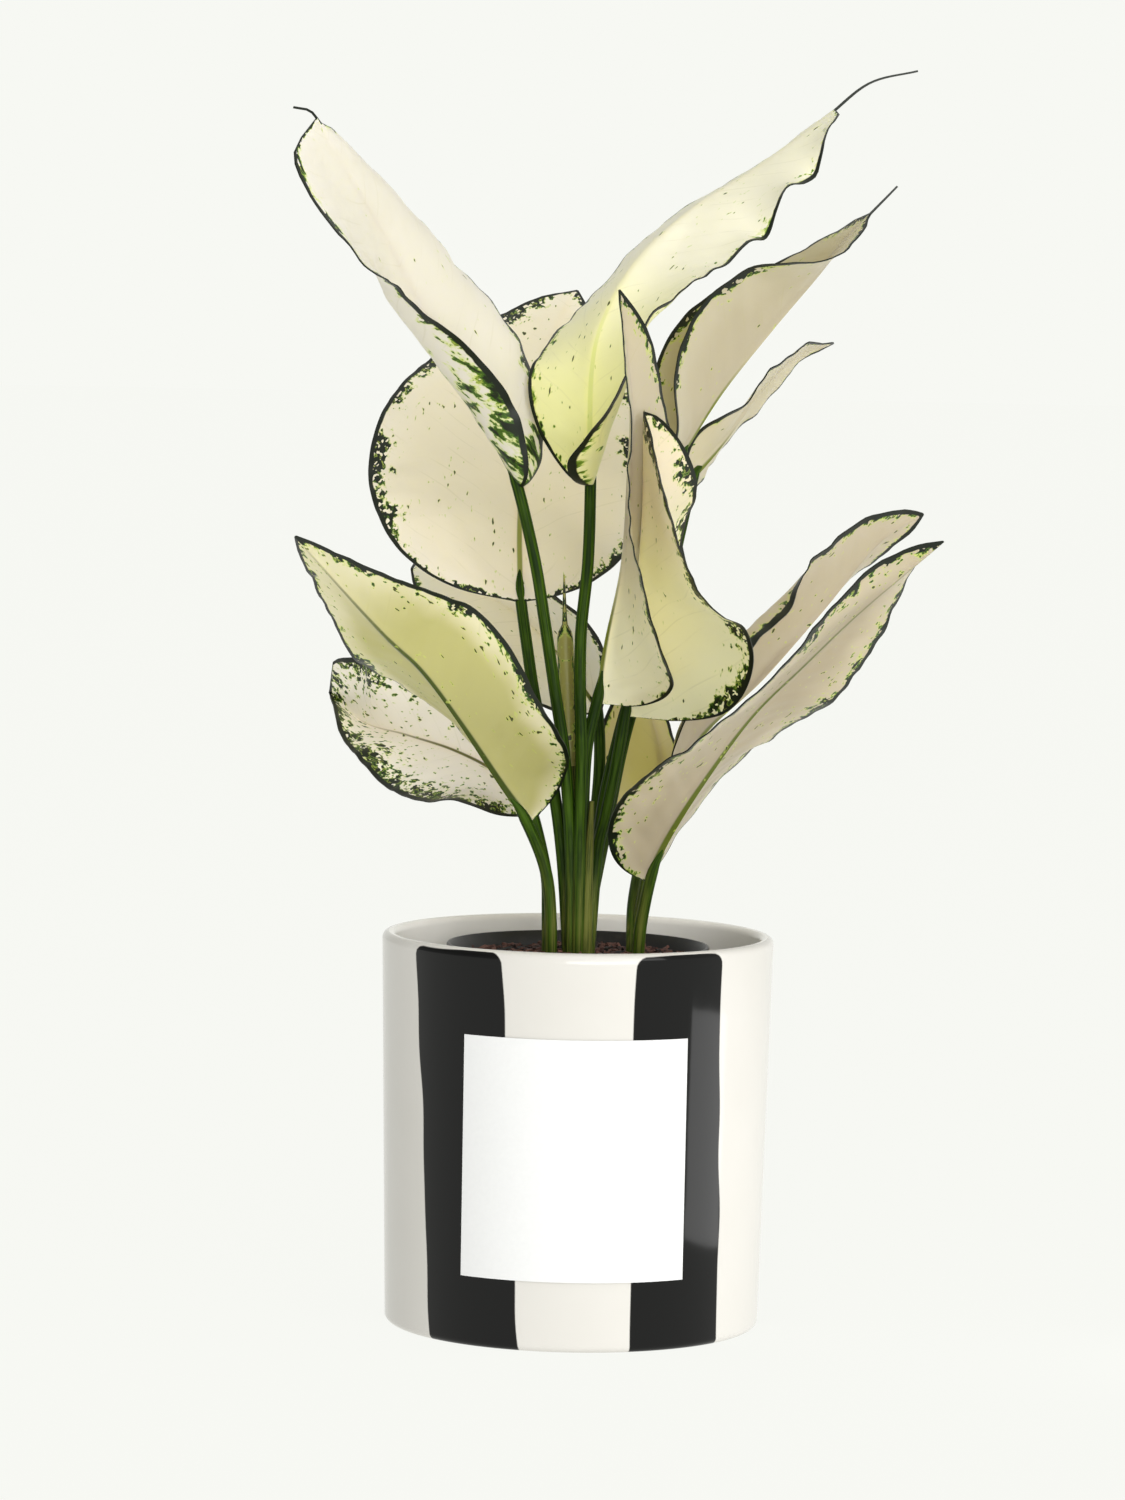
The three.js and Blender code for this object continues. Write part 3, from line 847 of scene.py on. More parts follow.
    def ground(self) -> None:
        """Paints the heart of the blade, with a cloudy edge towards the cream margin. Both colours
        carry each leaf's painted light and painted shade.
        """
        add, skin = self.add, self.skin
        cloud = add(Kind.MINUS, self.lumps(self.CLOUD), NOISE_MIDDLE)
        inset = add(Kind.MINUS, self.edge, skin.inset_mm)
        inward = add(Kind.PLUS, inset, add(Kind.TIMES, cloud, self.CLOUD_MM))
        stay = add(Kind.FADE, self.share, skin.heart_end + self.HEART_FADE, skin.heart_end)
        heart = add(Kind.TIMES, add(Kind.FADE, inward, *self.HEART_EDGE_MM), stay)
        self.paint(heart, linear(skin.heart))

    def veins(self) -> None:
        """Paints faint side veins, more in some places."""
        veined = self.add(Kind.FADE, self.lumps(self.VEINED), *self.VEINED_FADE)
        strength = self.add(Kind.TIMES, veined, self.VEIN_STRENGTH)
        crest = self.add(Kind.FADE, self.wave, *self.VEIN_CREST)
        self.paint(self.add(Kind.TIMES, crest, strength), linear(self.skin.vein))

    def midrib(self) -> None:
        """Paints the midrib, which fades on its way to the tip."""
        add, skin = self.add, self.skin
        slimming = add(Kind.TIMES, self.share, skin.rib_mm * self.RIB_SLIMMING)
        outside = add(Kind.MINUS, self.rib_distance, add(Kind.MINUS, skin.rib_mm, slimming))
        stay = add(Kind.FADE, self.share, skin.rib_share, skin.rib_share * self.RIB_FADE)
        rib = add(Kind.TIMES, add(Kind.FADE, outside, *self.RIB_EDGE_MM), stay)
        self.paint(rib, linear(skin.rib))

    def patches(self, depth: Any, halo_mm: float) -> None:
        """Paints green tissue, darker inside and lime round it.

        Args:
            depth: How deep inside the green a place lies, in millimetres.
            halo_mm: How far the lime tissue reaches out round it.
        """
        add, skin = self.add, self.skin
        near = add(Kind.FADE, depth, -halo_mm, self.HALO_END_MM)
        self.paint(add(Kind.TIMES, near, self.HALO_STRENGTH), linear(skin.halo))
        deep = add(Kind.FADE, depth, *self.DARK_MM)
        inner = add(Kind.BLEND, deep, linear(skin.green), linear(skin.dark))
        self.paint(add(Kind.FADE, depth, *self.PATCH_EDGE_MM), inner)

    def band(self) -> None:
        """Paints the ragged band of green patches along the margin."""
        add, band_mm = self.add, self.skin.band_mm
        hole = add(Kind.FADE, self.lumps(self.HOLES), *self.HOLE_FADE)
        swell = add(Kind.MINUS, self.drift(self.BAND_SWELL), NOISE_MIDDLE)
        swell = add(Kind.TIMES, swell, band_mm * self.SWELL_REACH)
        ragged = add(Kind.MINUS, self.lumps(self.RAGGED), NOISE_MIDDLE)
        ragged = add(Kind.TIMES, ragged, band_mm * self.RAGGED_REACH + self.RAGGED_MM)
        reach = add(Kind.PLUS, add(Kind.PLUS, swell, ragged), band_mm * self.BAND_REACH)
        depth = add(Kind.MINUS, reach, self.edge)
        depth = add(Kind.MINUS, depth, add(Kind.TIMES, hole, self.NOWHERE_MM))
        self.patches(depth, self.BAND_HALO_MM)

    def flecks(self) -> None:
        """Paints the small green flecks."""
        add, skin = self.add, self.skin
        inward = add(Kind.TIMES, self.edge, self.FLECK_THINNING / skin.fleck_mm)
        least = self.FLECK_LIMIT - self.FLECK_CROWD * skin.flecks
        busy = add(Kind.TIMES, self.drift(self.BUSY), self.BUSY_SHARE)
        limit = add(Kind.MINUS, add(Kind.PLUS, inward, least), busy)
        over = add(Kind.MINUS, self.lumps(self.FLECKS), limit)
        self.patches(add(Kind.TIMES, over, self.FLECK_MM), self.FLECK_HALO_MM)

    def mosaic(self) -> None:
        """Paints the mosaic near the stalk, on the leaves that have one."""
        add, length = self.add, self.skin.mosaic_mm
        if not length:
            return
        near = add(Kind.FADE, self.along, length, length * self.MOSAIC_FULL)
        base = add(Kind.FADE, self.along, *(length * share for share in self.MOSAIC_BASE))
        left = add(Kind.LARGER, add(Kind.FADE, self.across, *self.MOSAIC_LEFT_MM), base)
        rim = add(Kind.TIMES, add(Kind.FADE, self.edge, *self.MOSAIC_RIM_MM), self.MOSAIC_RIM)
        favour = add(Kind.PLUS, add(Kind.TIMES, near, self.MOSAIC_NEAR), rim)
        over = add(Kind.MINUS, add(Kind.PLUS, self.lumps(self.MOSAIC), favour), self.MOSAIC_LIMIT)
        here = add(Kind.TIMES, left, add(Kind.FADE, near, 0.0, self.MOSAIC_FADE))
        outside = add(Kind.TIMES, add(Kind.MINUS, 1.0, here), self.NOWHERE_MM)
        depth = add(Kind.MINUS, add(Kind.TIMES, over, self.MOSAIC_MM), outside)
        self.patches(depth, self.MOSAIC_HALO_MM)

    def dashes(self) -> None:
        """Paints short dark dashes along the blade, here and there."""
        add, skin = self.add, self.skin
        crowd = add(Kind.FADE, self.lumps(self.CROWDS), *self.CROWD_FADE)
        crowd = add(Kind.TIMES, crowd, self.CROWD_SHARE)
        marks = add(Kind.PLUS, self.lumps(self.DASHES), crowd)
        limit = self.DASH_LIMIT - self.DASH_SHARE * skin.dashes
        near = add(Kind.FADE, marks, limit - self.DASH_HALO, limit)
        self.paint(add(Kind.TIMES, near, self.DASH_HALO_STRENGTH), linear(skin.halo))
        self.paint(add(Kind.FADE, marks, limit, limit + self.DASH_EDGE), linear(skin.dash))

    def margin_line(self) -> Any:
        """Paints the thin dark line round the margin.

        Returns:
            1 on the line and 0 elsewhere.
        """
        swell = self.add(Kind.PLUS, self.drift(self.LINE_SWELL), self.LINE_LEAST)
        width = self.add(Kind.TIMES, swell, self.skin.line_mm)
        line = self.add(Kind.FADE, self.add(Kind.MINUS, self.edge, width), *self.LINE_EDGE_MM)
        self.paint(line, linear(self.skin.dark))
        return line

    def material(self) -> bpy.types.Material:
        """Lays the layers over each other.

        Returns:
            The finished skin.
        """
        self.ground()
        self.veins()
        self.midrib()
        self.band()
        self.flecks()
        self.mosaic()
        self.dashes()
        thin = self.add(Kind.MINUS, 1.0, self.margin_line())
        pores = self.add(Kind.TIMES, self.lumps(self.PORES), self.PORE_DEPTH)
        relief = self.add(Kind.PLUS, self.add(Kind.TIMES, self.wave, self.VEIN_DEPTH), pores)
        return self.shader.finish(
            Base_Color=self.colour,
            Roughness=self.ROUGHNESS,
            Specular_IOR_Level=self.SHEEN,
            Subsurface_Weight=self.add(Kind.TIMES, thin, self.GLOW),
            Subsurface_Radius=self.GLOW_RADII,
            Subsurface_Scale=self.GLOW_MM * MM,
            Normal=self.add(Kind.BUMP, relief, self.RELIEF_MM * MM, self.RELIEF_STRENGTH),
        )


@dataclass(frozen=True)
class Half:
    """Half of a blade, from its midrib to one margin.

    Attributes:
        reach: Its width at the widest point, in millimetres.
        turn: Its turn towards the front in degrees, from the base to the tip.
        curl: Its further turn by the margin.
        wave: The depth in degrees and the number of ripples of its margin.
        outline: Its own outline, where it differs from the leaf's.
    """

    reach: float
    turn: Keys
    curl: Keys = (0.0, 0.0)
    wave: Pair = (0.0, 0.0)
    outline: Keys = ()


@dataclass(frozen=True)
class Section:
    """A blade's cross-section at one place along its midrib, with its left half first."""

    middle: Vector
    left: Vector
    near: Vector
    widths: Pair
    turns: Pair
    curls: Pair
    ripples: Pair

    def direction(self, hand: int, angle: float) -> Vector:
        """Returns the way a half runs at an angle; the left hand is -1, the right one 1."""
        return self.left * (-hand * math.cos(angle)) + self.near * math.sin(angle)

    def normal(self, hand: int, angle: float) -> Vector:
        """Returns the near side's normal of a half that runs at an angle."""
        return self.near * math.cos(angle) + self.left * (hand * math.sin(angle))


@dataclass(frozen=True)
class Leaf:
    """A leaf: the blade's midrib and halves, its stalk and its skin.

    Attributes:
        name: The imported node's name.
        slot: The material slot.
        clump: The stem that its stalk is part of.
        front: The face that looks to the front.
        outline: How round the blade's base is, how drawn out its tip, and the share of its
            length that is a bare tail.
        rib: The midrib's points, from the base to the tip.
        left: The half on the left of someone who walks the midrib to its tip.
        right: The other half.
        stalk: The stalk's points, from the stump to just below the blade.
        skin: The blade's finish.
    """

    name: str
    slot: Slot
    clump: Clump
    front: Front
    outline: Keys
    rib: tuple[Point, ...]
    left: Half
    right: Half
    stalk: tuple[Point, ...]
    skin: BladeSkin


@dataclass
class Blade:
    """One leaf blade: a thin waxy sheet with a keeled midrib and shallow side veins.

    Attributes:
        crowding: Crowds the cells towards the base, where above one.
        rib_depth: The keel's depth at the base and at the tip.
        rib_width: Half the keel's width.
        rib_dip: The share of the keel's depth by which the upper face dips over it.
        fold_round: How far from the midrib the fold between the halves is rounded.
        fold_blend: How far from the midrib the normals of the halves meet.
        end_width: The least width at the base and at the tip.
        wave_span: The shares of the length between which the ripples start.
        vein_span: How far from the midrib the side veins start.
        frill: The height of the fine ripples of the margin.
        frill_side: Keeps the two margins' ripples apart.
        frill_span: The shares of the way to the margin between which they start.
        swell: The height of the slow swells.
        swell_span: How far from the midrib they start.
    """

    leaf: Leaf
    columns: int = 44
    row_step: float = 1.9
    crowding: float = 1.25
    thickness: float = 0.5
    rib_depth: Pair = (2.0, 0.15)
    rib_width: float = 1.3
    rib_dip: float = 0.12
    fold_round: float = 0.9
    fold_blend: float = 4.0
    end_width: Pair = (1.2, 0.4)
    wave_span: Pair = (0.45, 0.62)
    vein_relief: float = 0.09
    vein_span: Pair = (1.0, 6.0)
    frill: float = 1.1
    frill_mm: float = 8.0
    frill_side: float = 7.0
    frill_span: Pair = (0.5, 1.0)
    swell: float = 0.9
    swell_mm: float = 17.0
    swell_span: Pair = (1.0, 9.0)

    def width(self, half: Half, share: float) -> float:
        """Finds how wide a half of the blade is.

        Args:
            half: The half.
            share: The share of the blade's length.

        Returns:
            The width in millimetres.
        """
        roundness, taper, *tail = half.outline or self.leaf.outline
        place = min(share / (1 - sum(tail)), 1.0)
        widest = roundness / (roundness + taper)
        swell = (place / widest) ** roundness * ((1 - place) / (1 - widest)) ** taper
        return max(mix(*self.end_width, share), half.reach * swell)

    def section(self, route: Route, share: float) -> Section:
        """Finds the cross-section at a share of the midrib's length.

        Args:
            route: The midrib.
            share: The share of its length.

        Returns:
            The widths and angles of both halves there.
        """
        left, near = route.axes(share)
        halves = (self.leaf.left, self.leaf.right)
        fade = smooth_step(share, *self.wave_span)
        return Section(
            middle=route.spot(share),
            left=left,
            near=near,
            widths=tuple(self.width(half, share) for half in halves),
            turns=tuple(math.radians(spline(half.turn, share)) for half in halves),
            curls=tuple(math.radians(spline(half.curl, share)) for half in halves),
            ripples=tuple(
                math.radians(fade * half.wave[0] * math.sin(2 * math.pi * half.wave[1] * share))
                for half in halves
            ),
        )

    def surface(self, section: Section, across: float) -> tuple[Vector, Vector]:
        """Finds the sheet's middle at a place across a section.

        Args:
            section: The cross-section.
            across: The place, from -1 at the left margin to 1 at the right one.

        Returns:
            The point there, and the sheet's normal on the near side.
        """
        hand = -1 if across < 0 else 1
        index = 0 if hand < 0 else 1
        share = abs(across)
        turn, curl, ripple = section.turns[index], section.curls[index], section.ripples[index]
        chord = turn + curl * share / 2 + ripple * share**2
        slope = turn + curl * share + ripple * share**2
        distance = section.widths[index] * share
        hands = tuple(zip((-1, 1), section.turns))
        folds = [section.direction(*pair) for pair in hands]
        normals = [section.normal(*pair) for pair in hands]
        rounded = self.fold_round * (1 - math.exp(-distance / self.fold_round))
        point = section.middle + section.direction(hand, chord) * distance
        point -= (folds[0] + folds[1]) * (rounded * 0.5)
        rib_normal = (normals[0] + normals[1]).normalized()
        blend = min(1.0, distance / self.fold_blend)
        return point, rib_normal.lerp(section.normal(hand, slope), blend).normalized()

    def unevenness(self, across_mm: float, along_mm: float, share: float) -> float:
        """Finds how far the sheet rises out of its curve: slow swells, and a frilled margin.

        Args:
            across_mm: The distance from the midrib, below zero on the left half.
            along_mm: The distance from the blade's base.
            share: The share of the way from the midrib to the margin.

        Returns:
            The rise in millimetres.
        """
        seed = self.leaf.skin.seed
        place = Vector((across_mm, along_mm, 0.0)) / self.swell_mm
        slow = noise.noise(place + Vector((0, 0, seed)))
        side = math.copysign(self.frill_side, across_mm)
        fine = noise.noise(Vector((along_mm / self.frill_mm, side, seed)))
        body = smooth_step(abs(across_mm), *self.swell_span)
        return body * (self.swell * slow + self.frill * fine * smooth_step(share, *self.frill_span))

    def build(self) -> bpy.types.Object:
        """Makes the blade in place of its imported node.

        Returns:
            The blade's object.
        """
        names = ("across_mm", "along_mm", "edge_mm", "share")
        piece = Piece(f"{self.leaf.name}_blade", names)
        route = Route(self.leaf.rib)
        rows = round(route.length / self.row_step)
        places = piece.sheet(self.columns, rows, both_faces=True)
        layers = [piece.layer(name) for name in names]
        sections = {}
        for vert, place in places:
            step = round(place.v * rows)
            share = (step / rows) ** self.crowding
            if step not in sections:
                sections[step] = self.section(route, share)
            section = sections[step]
            across = 2 * place.u - 1
            width = section.widths[0 if across < 0 else 1]
            distance = abs(across) * width
            along = share * route.length
            point, normal = self.surface(section, across)
            keel = mix(*self.rib_depth, share) * math.exp(-((distance / self.rib_width) ** 2))
            phase = 2 * math.pi * (along - VEIN_SLANT * distance) / VEIN_STEP
            relief = self.vein_relief * math.cos(phase) * smooth_step(distance, *self.vein_span)
            relief += self.unevenness(across * width, along, abs(across))
            half = self.thickness / 2
            lift = -half - keel if place.under else half - self.rib_dip * keel
            vert.co = point + normal * self.leaf.front.value * (lift + relief)
            edge = min((1 - abs(across)) * width, (1 - share) * route.length)
            for layer, value in zip(layers, (across * width, along, edge, share)):
                vert[layer] = value
        skin_name = f"{self.leaf.name.removeprefix('leaf_')}_leaf_skin"
        skin = BladePainter(skin_name, self.leaf.skin).material()
        return piece.finished(skin, self.leaf.slot, self.leaf.name)


@dataclass(frozen=True)
class Sheath:
    """A pale sheath at the foot of the stalks, with its points and its two radii."""

    points: tuple[Point, ...]
    foot_radius: float
    top_radius: float

    def radius(self, share: float) -> float:
        """Returns the radius at a share of the length."""
        return mix(self.foot_radius, self.top_radius, share)


@dataclass
class Stem:
    """One stem: the stalks of its leaves, standing in the potting mix.

    Attributes:
        top_radius: A stalk's radius below the blade.
        end_radius: Its radius where it ends under the midrib.
        run_on: The shares of the midrib's length between which it runs on under it.
        gap: How far under the midrib it runs on.
        sunk_z: The height at which it starts, inside the potting mix.
        pale_span: Between which lengths the pale foot fades.
    """

    clump: Clump
    leaves: list[Leaf]
    sheaths: tuple[Sheath, ...] = ()
    foot_radius: float = 2.3
    top_radius: float = 2.05
    end_radius: float = 0.7
    run_on: Pair = (0.02, 0.08)
    gap: float = 1.0
    sunk_z: float = 120.0
    sides: int = 20
    pale: float = 0.75
    pale_span: Pair = (18.0, 60.0)
    pale_streaks: int = 9
    sheath_pale: float = 0.85

    def radius(self, share: float, end: float) -> float:
        """Finds a stalk's radius.

        Args:
            share: The share of its length.
            end: The share at which it runs on under the midrib.

        Returns:
            The radius in millimetres.
        """
        if share > end:
            return mix(self.top_radius, self.end_radius, (share - end) / (1 - end))
        return mix(self.foot_radius, self.top_radius, share / end)

    def stalk(self, piece: Piece, leaf: Leaf) -> None:
        """Adds a leaf's stalk, which runs on along the underside of its midrib.

        Args:
            piece: The stem's mesh.
            leaf: The leaf.
        """
        rib, blade = Route(leaf.rib), Blade(leaf)
        _, normal = blade.surface(blade.section(rib, self.run_on[0]), 0.0)
        below = normal * -leaf.front.value * self.gap
        ends = [rib.spot(share) + below for share in self.run_on]
        foot = Vector((*leaf.stalk[0][:2], self.sunk_z))
        route = Route([foot, *leaf.stalk[1:], *ends])
        end = 1 - (ends[1] - ends[0]).length / route.length
        along, sheath = piece.layer("along_mm"), piece.layer("sheath")
        for vert in piece.tube(route, lambda share: self.radius(share, end), self.sides):
            bearing = math.atan2(vert.co.y - foot.y, vert.co.x - foot.x)
            low = self.pale * (1 - smooth_step(vert[along], *self.pale_span))
            vert[sheath] = low * (0.5 + 0.5 * math.cos(self.pale_streaks * bearing))

    def build(self, skin: bpy.types.Material) -> bpy.types.Object:
        """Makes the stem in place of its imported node.

        Args:
            skin: The stalks' finish.

        Returns:
            The stem's object.
        """
        piece = Piece(f"{self.clump.value}_stalks", ("along_mm", "around", "sheath"))
        for leaf in self.leaves:
            self.stalk(piece, leaf)
        for sheath in self.sheaths:
            for vert in piece.tube(Route(sheath.points), sheath.radius, self.sides):
                vert[piece.layer("sheath")] = self.sheath_pale
        return piece.finished(skin, Slot.STALK, self.clump.value)


@dataclass
class RolledLeaf:
    """The young leaf that is still rolled up: a slim pointed roll with its edge showing.

    Attributes:
        foot: The sheath's radius at its foot.
        mouth: The sheath's radius where the roll leaves it.
        mouth_share: The share of the length at which it does.
        mouth_round: The share of the length over which the mouth closes.
        neck: The roll's radius at the mouth.
        width_mm: How wide the rolled blade's pattern is.
        seam_mm: How wide the part is that the roll's edge winds over.
        seam_turn: Where the edge lies, as the sine of its bearing.
        seam_lean: How far it leans over towards the tip.
    """

    points: tuple[Point, ...] = ((-4.0, -2.0, 200.0), (-6.4, -1.0, 240.0), (-7.5, 0.0, 268.0))
    foot: float = 3.2
    mouth: float = 2.9
    mouth_share: float = 0.68
    mouth_round: float = 0.07
    neck: float = 1.1
    top: float = 0.3
    sides: int = 28
    width_mm: float = 6.0
    seam_mm: float = 8.0
    seam_turn: float = 0.2
    seam_lean: float = 0.5
    skin: BladeSkin = BladeSkin("#94904c", "#7c7c34", dashes=1.0, line_mm=0.4, seed=91.0)

    def radius(self, share: float) -> float:
        """Finds the radius of the sheath, and of the roll that leaves it.

        Args:
            share: The share of the length.

        Returns:
            The radius in millimetres.
        """
        sheath = mix(self.foot, self.mouth, share / self.mouth_share)
        roll = mix(self.neck, self.top, (share - self.mouth_share) / (1 - self.mouth_share))
        closed = smooth_step(share, self.mouth_share, self.mouth_share + self.mouth_round)
        return mix(sheath, roll, closed)

    def build(self) -> bpy.types.Object:
        """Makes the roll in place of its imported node.

        Returns:
            The roll's object.
        """
        names = ("along_mm", "around", "across_mm", "edge_mm", "share")
        piece = Piece("leaf_spear_roll", names)
        route = Route(self.points)
        verts = piece.tube(route, self.radius, self.sides)
        along, around, across, edge, share = (piece.layer(name) for name in names)
        for vert in verts:
            vert[share] = vert[along] / route.length
            vert[across] = self.width_mm * vert[around]
            seam = self.seam_turn + self.seam_lean * vert[share]
            vert[edge] = self.seam_mm * abs(vert[around] - seam)
        skin = BladePainter("rolled_leaf_skin", self.skin).material()
        return piece.finished(skin, Slot.ROLLED, "leaf_spear")


@dataclass(frozen=True)
class Waver:
    """The waver of a brushed edge.

    Attributes:
        depth: How far it swings, in millimetres.
        length: How long a swing is along the edge, in millimetres for each radian.
        shift: Keeps the stripes' edges apart.
    """

    depth: float
    length: float
    shift: int

    def at(self, place: float, number: int) -> float:
        """Returns the swing at a place along the edge of the stripe with that number."""
        return self.depth * math.sin(place / self.length + self.shift * number)


@dataclass
class Planter:
    """The straight sided planter with its black brushed stripes.

    Attributes:
        top_radius: Its outer radius below the rim.
        foot_radius: Its outer radius above the foot.
        wall_step: The height of the outer wall's cells.
        stripes: The bearings of each stripe's left and right edge at the rim and at the foot,
            in degrees from the front.
        sways: The waver of a whole stripe.
        breadth: The waver of its breadth.
        top_edge: The waver of its upper end.
        brush_reach: How far in from the outer wall the brush still paints.
        rim_bare: How far below the rim it stays.
        bare: The depth that stands for the white ground of the rim and the foot.
        inside: The depth that stands for the shaded inner wall, whose paler glaze is painted light.
    """

    height: float = 140.0
    top_radius: float = 70.0
    foot_radius: float = 67.0
    wall: float = 5.0
    floor: float = 9.0
    foot_round: float = 2.5
    inner_round: float = 6.0
    steps: int = 288
    arc_steps: int = 8
    wall_step: float = 1.5
    stripes: tuple[tuple[float, float, float, float], ...] = (
        (-54.0, -21.9, -47.4, -15.6),
        (16.6, 45.8, 18.2, 50.2),
        (88.0, 120.0, 90.0, 121.0),
        (161.0, 193.0, 163.0, 194.0),
        (-125.0, -94.0, -121.0, -89.0),
    )
    stripe_top: float = 139.2
    stripe_corner: float = 4.0
    sways: tuple[Waver, ...] = (Waver(0.4, 17.0, 2), Waver(0.15, 5.0, 1))
    breadth: Waver = Waver(0.3, 7.3, 5)
    top_edge: Waver = Waver(0.3, 6.0, 1)
    brush_reach: float = 1.5
    rim_bare: float = 0.3
    bare: float = -5.0
    inside: float = -40.0

    @property
    def rim_round(self) -> float:
        """The rim's radius: half the wall."""
        return self.wall / 2

    @property
    def span(self) -> float:
        """The height of the straight wall between the foot's edge and the rim's."""
        return self.height - self.rim_round - self.foot_round

    def radius(self, height: float) -> float:
        """Returns the outer radius at a height between the foot and the rim."""
        return mix(self.foot_radius, self.top_radius, (height - self.foot_round) / self.span)

    def arc(self, centre: Pair, radius: float, first: float, last: float) -> list[Pair]:
        """Lays out a rounded edge of the outline.

        Args:
            centre: The radius and the height of its middle.
            radius: Its radius.
            first: The angle at which it starts, in degrees.
            last: The angle at which it ends.

        Returns:
            Its points.
        """
        angles = [
            math.radians(mix(first, last, step / self.arc_steps))
            for step in range(self.arc_steps + 1)
        ]
        return [
            (centre[0] + radius * math.cos(angle), centre[1] + radius * math.sin(angle))
            for angle in angles
        ]

    def outline(self) -> list[Pair]:
        """Lays out half the wall's section, from the base's middle to the inner floor's.

        Returns:
            The radius and the height of each point.
        """
        count = round(self.span / self.wall_step)
        heights = [self.foot_round + self.span * step / count for step in range(1, count)]
        foot = (self.foot_radius - self.foot_round, self.foot_round)
        rim = (self.top_radius - self.rim_round, self.height - self.rim_round)
        inner_foot = self.radius(self.floor) - self.wall
        well = (inner_foot - self.inner_round, self.floor + self.inner_round)
        return [
            (0.0, 0.0),
            *self.arc(foot, self.foot_round, -90, 0),
            *[(self.radius(height), height) for height in heights],
            *self.arc(rim, self.rim_round, 0, 180),
            *self.arc(well, self.inner_round, 0, -90),
            (0.0, self.floor),
        ]

    def stripe_depth(self, spot: Vector) -> float:
        """Finds how far inside the nearest stripe a point of the wall lies.

        Args:
            spot: A point of the outer wall.

        Returns:
            The depth in millimetres, which is below zero on the white ground.
        """
        bearing = math.degrees(math.atan2(spot.x, -spot.y))
        radius = math.hypot(spot.x, spot.y)
        down = 1 - spot.z / self.height
        corner = self.stripe_corner
        depths = []
        for number, (left_top, right_top, left_low, right_low) in enumerate(self.stripes):
            left, right = mix(left_top, left_low, down), mix(right_top, right_low, down)
            arc = math.radians((bearing - (left + right) / 2 + 180) % 360 - 180) * radius
            sway = sum(waver.at(spot.z, number) for waver in self.sways)
            side = abs(arc + sway) - math.radians((right - left) / 2) * radius
            side += self.breadth.at(spot.z, number) * (1 if arc > 0 else -1)
            top = spot.z - self.stripe_top - self.top_edge.at(arc, number)
            over = Vector((max(side + corner, 0.0), max(top + corner, 0.0)))
            inside = min(max(side + corner, top + corner), 0.0)
            depths.append(corner - over.length - inside)
        return max(depths)

    def build(self) -> bpy.types.Object:
        """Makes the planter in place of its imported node.

        Returns:
            The planter's object.
        """
        piece = Piece("planter_body", ("stripe_mm",))
        piece.lathe(self.outline(), self.steps)
        stripe = piece.layer("stripe_mm")
        for vert in piece.mesh.verts:
            inward = self.radius(vert.co.z) - math.hypot(vert.co.x, vert.co.y)
            if inward < self.brush_reach and vert.co.z < self.height - self.rim_bare:
                vert[stripe] = self.stripe_depth(vert.co)
            else:
                # The shaded inner wall gets the paler glaze: painted light.
                shaded_inner_wall = inward > self.rim_round and vert.co.z > self.floor
                vert[stripe] = self.inside if shaded_inner_wall else self.bare
        return piece.finished(GlazedStoneware().make(), Slot.GLAZE, "planter")


@dataclass
class Label:
    """The blank label, bent round the front of the planter."""

    planter: Planter
    low: float = 25.0
    high: float = 110.0
    width: float = 82.4
    standoff: float = 0.3
    thickness: float = 0.3
    columns: int = 60
    rows: int = 8

    def build(self) -> bpy.types.Object:
        """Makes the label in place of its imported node.

        Returns:
            The label's object.
        """
        piece = Piece("label_sheet")
        for vert, place in piece.sheet(self.columns, self.rows, both_faces=True):
            height = mix(self.low, self.high, place.v)
            radius = self.planter.radius(height) + self.standoff
            radius += 0.0 if place.under else self.thickness
            angle = self.width * (place.u - 0.5) / radius
            vert.co = Vector((radius * math.sin(angle), -radius * math.cos(angle), height))
        return piece.finished(LabelPaper().make(), Slot.PAPER, "label")


@dataclass
class GrowerPot:
    """The black grower pot: a thin cup with a rolled lip.

    Attributes:
        top_radius: The lip's outer radius.
        base_radius: The base's outer radius.
        lip: How far the lip stands out.
        edge: The cut of the lip's edges.
        crown: How far below the rim that cut starts.
    """

    foot_z: float = 9.3
    rim_z: float = 136.0
    top_radius: float = 47.0
    base_radius: float = 38.0
    wall: float = 1.4
    lip: float = 2.0
    lip_height: float = 7.0
    edge: float = 0.4
    crown: float = 0.5
    base_edge: float = 1.0
    steps: int = 96

    def build(self) -> bpy.types.Object:
        """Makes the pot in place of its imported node.

        Returns:
            The pot's object.
        """
        neck = self.top_radius - self.lip
        lip_z, crown_z = self.rim_z - self.lip_height, self.rim_z - self.crown
        outline = (
            (0.0, self.foot_z),
            (self.base_radius - self.base_edge, self.foot_z),
            (self.base_radius, self.foot_z + self.base_edge),
            (neck, lip_z),
            (self.top_radius - self.edge, lip_z),
            (self.top_radius, lip_z + self.edge),
            (self.top_radius, crown_z),
            (self.top_radius - self.edge, self.rim_z),
            (self.top_radius - self.wall + self.edge, self.rim_z),
            (self.top_radius - self.wall, crown_z),
            (neck - self.wall, lip_z),
            (self.base_radius - self.wall, self.foot_z + self.wall),
            (0.0, self.foot_z + self.wall),
        )
        piece = Piece("grower_pot_shell")
        piece.lathe(outline, self.steps)
        return piece.finished(MouldedPlastic().make(), Slot.PLASTIC, "grower_pot")


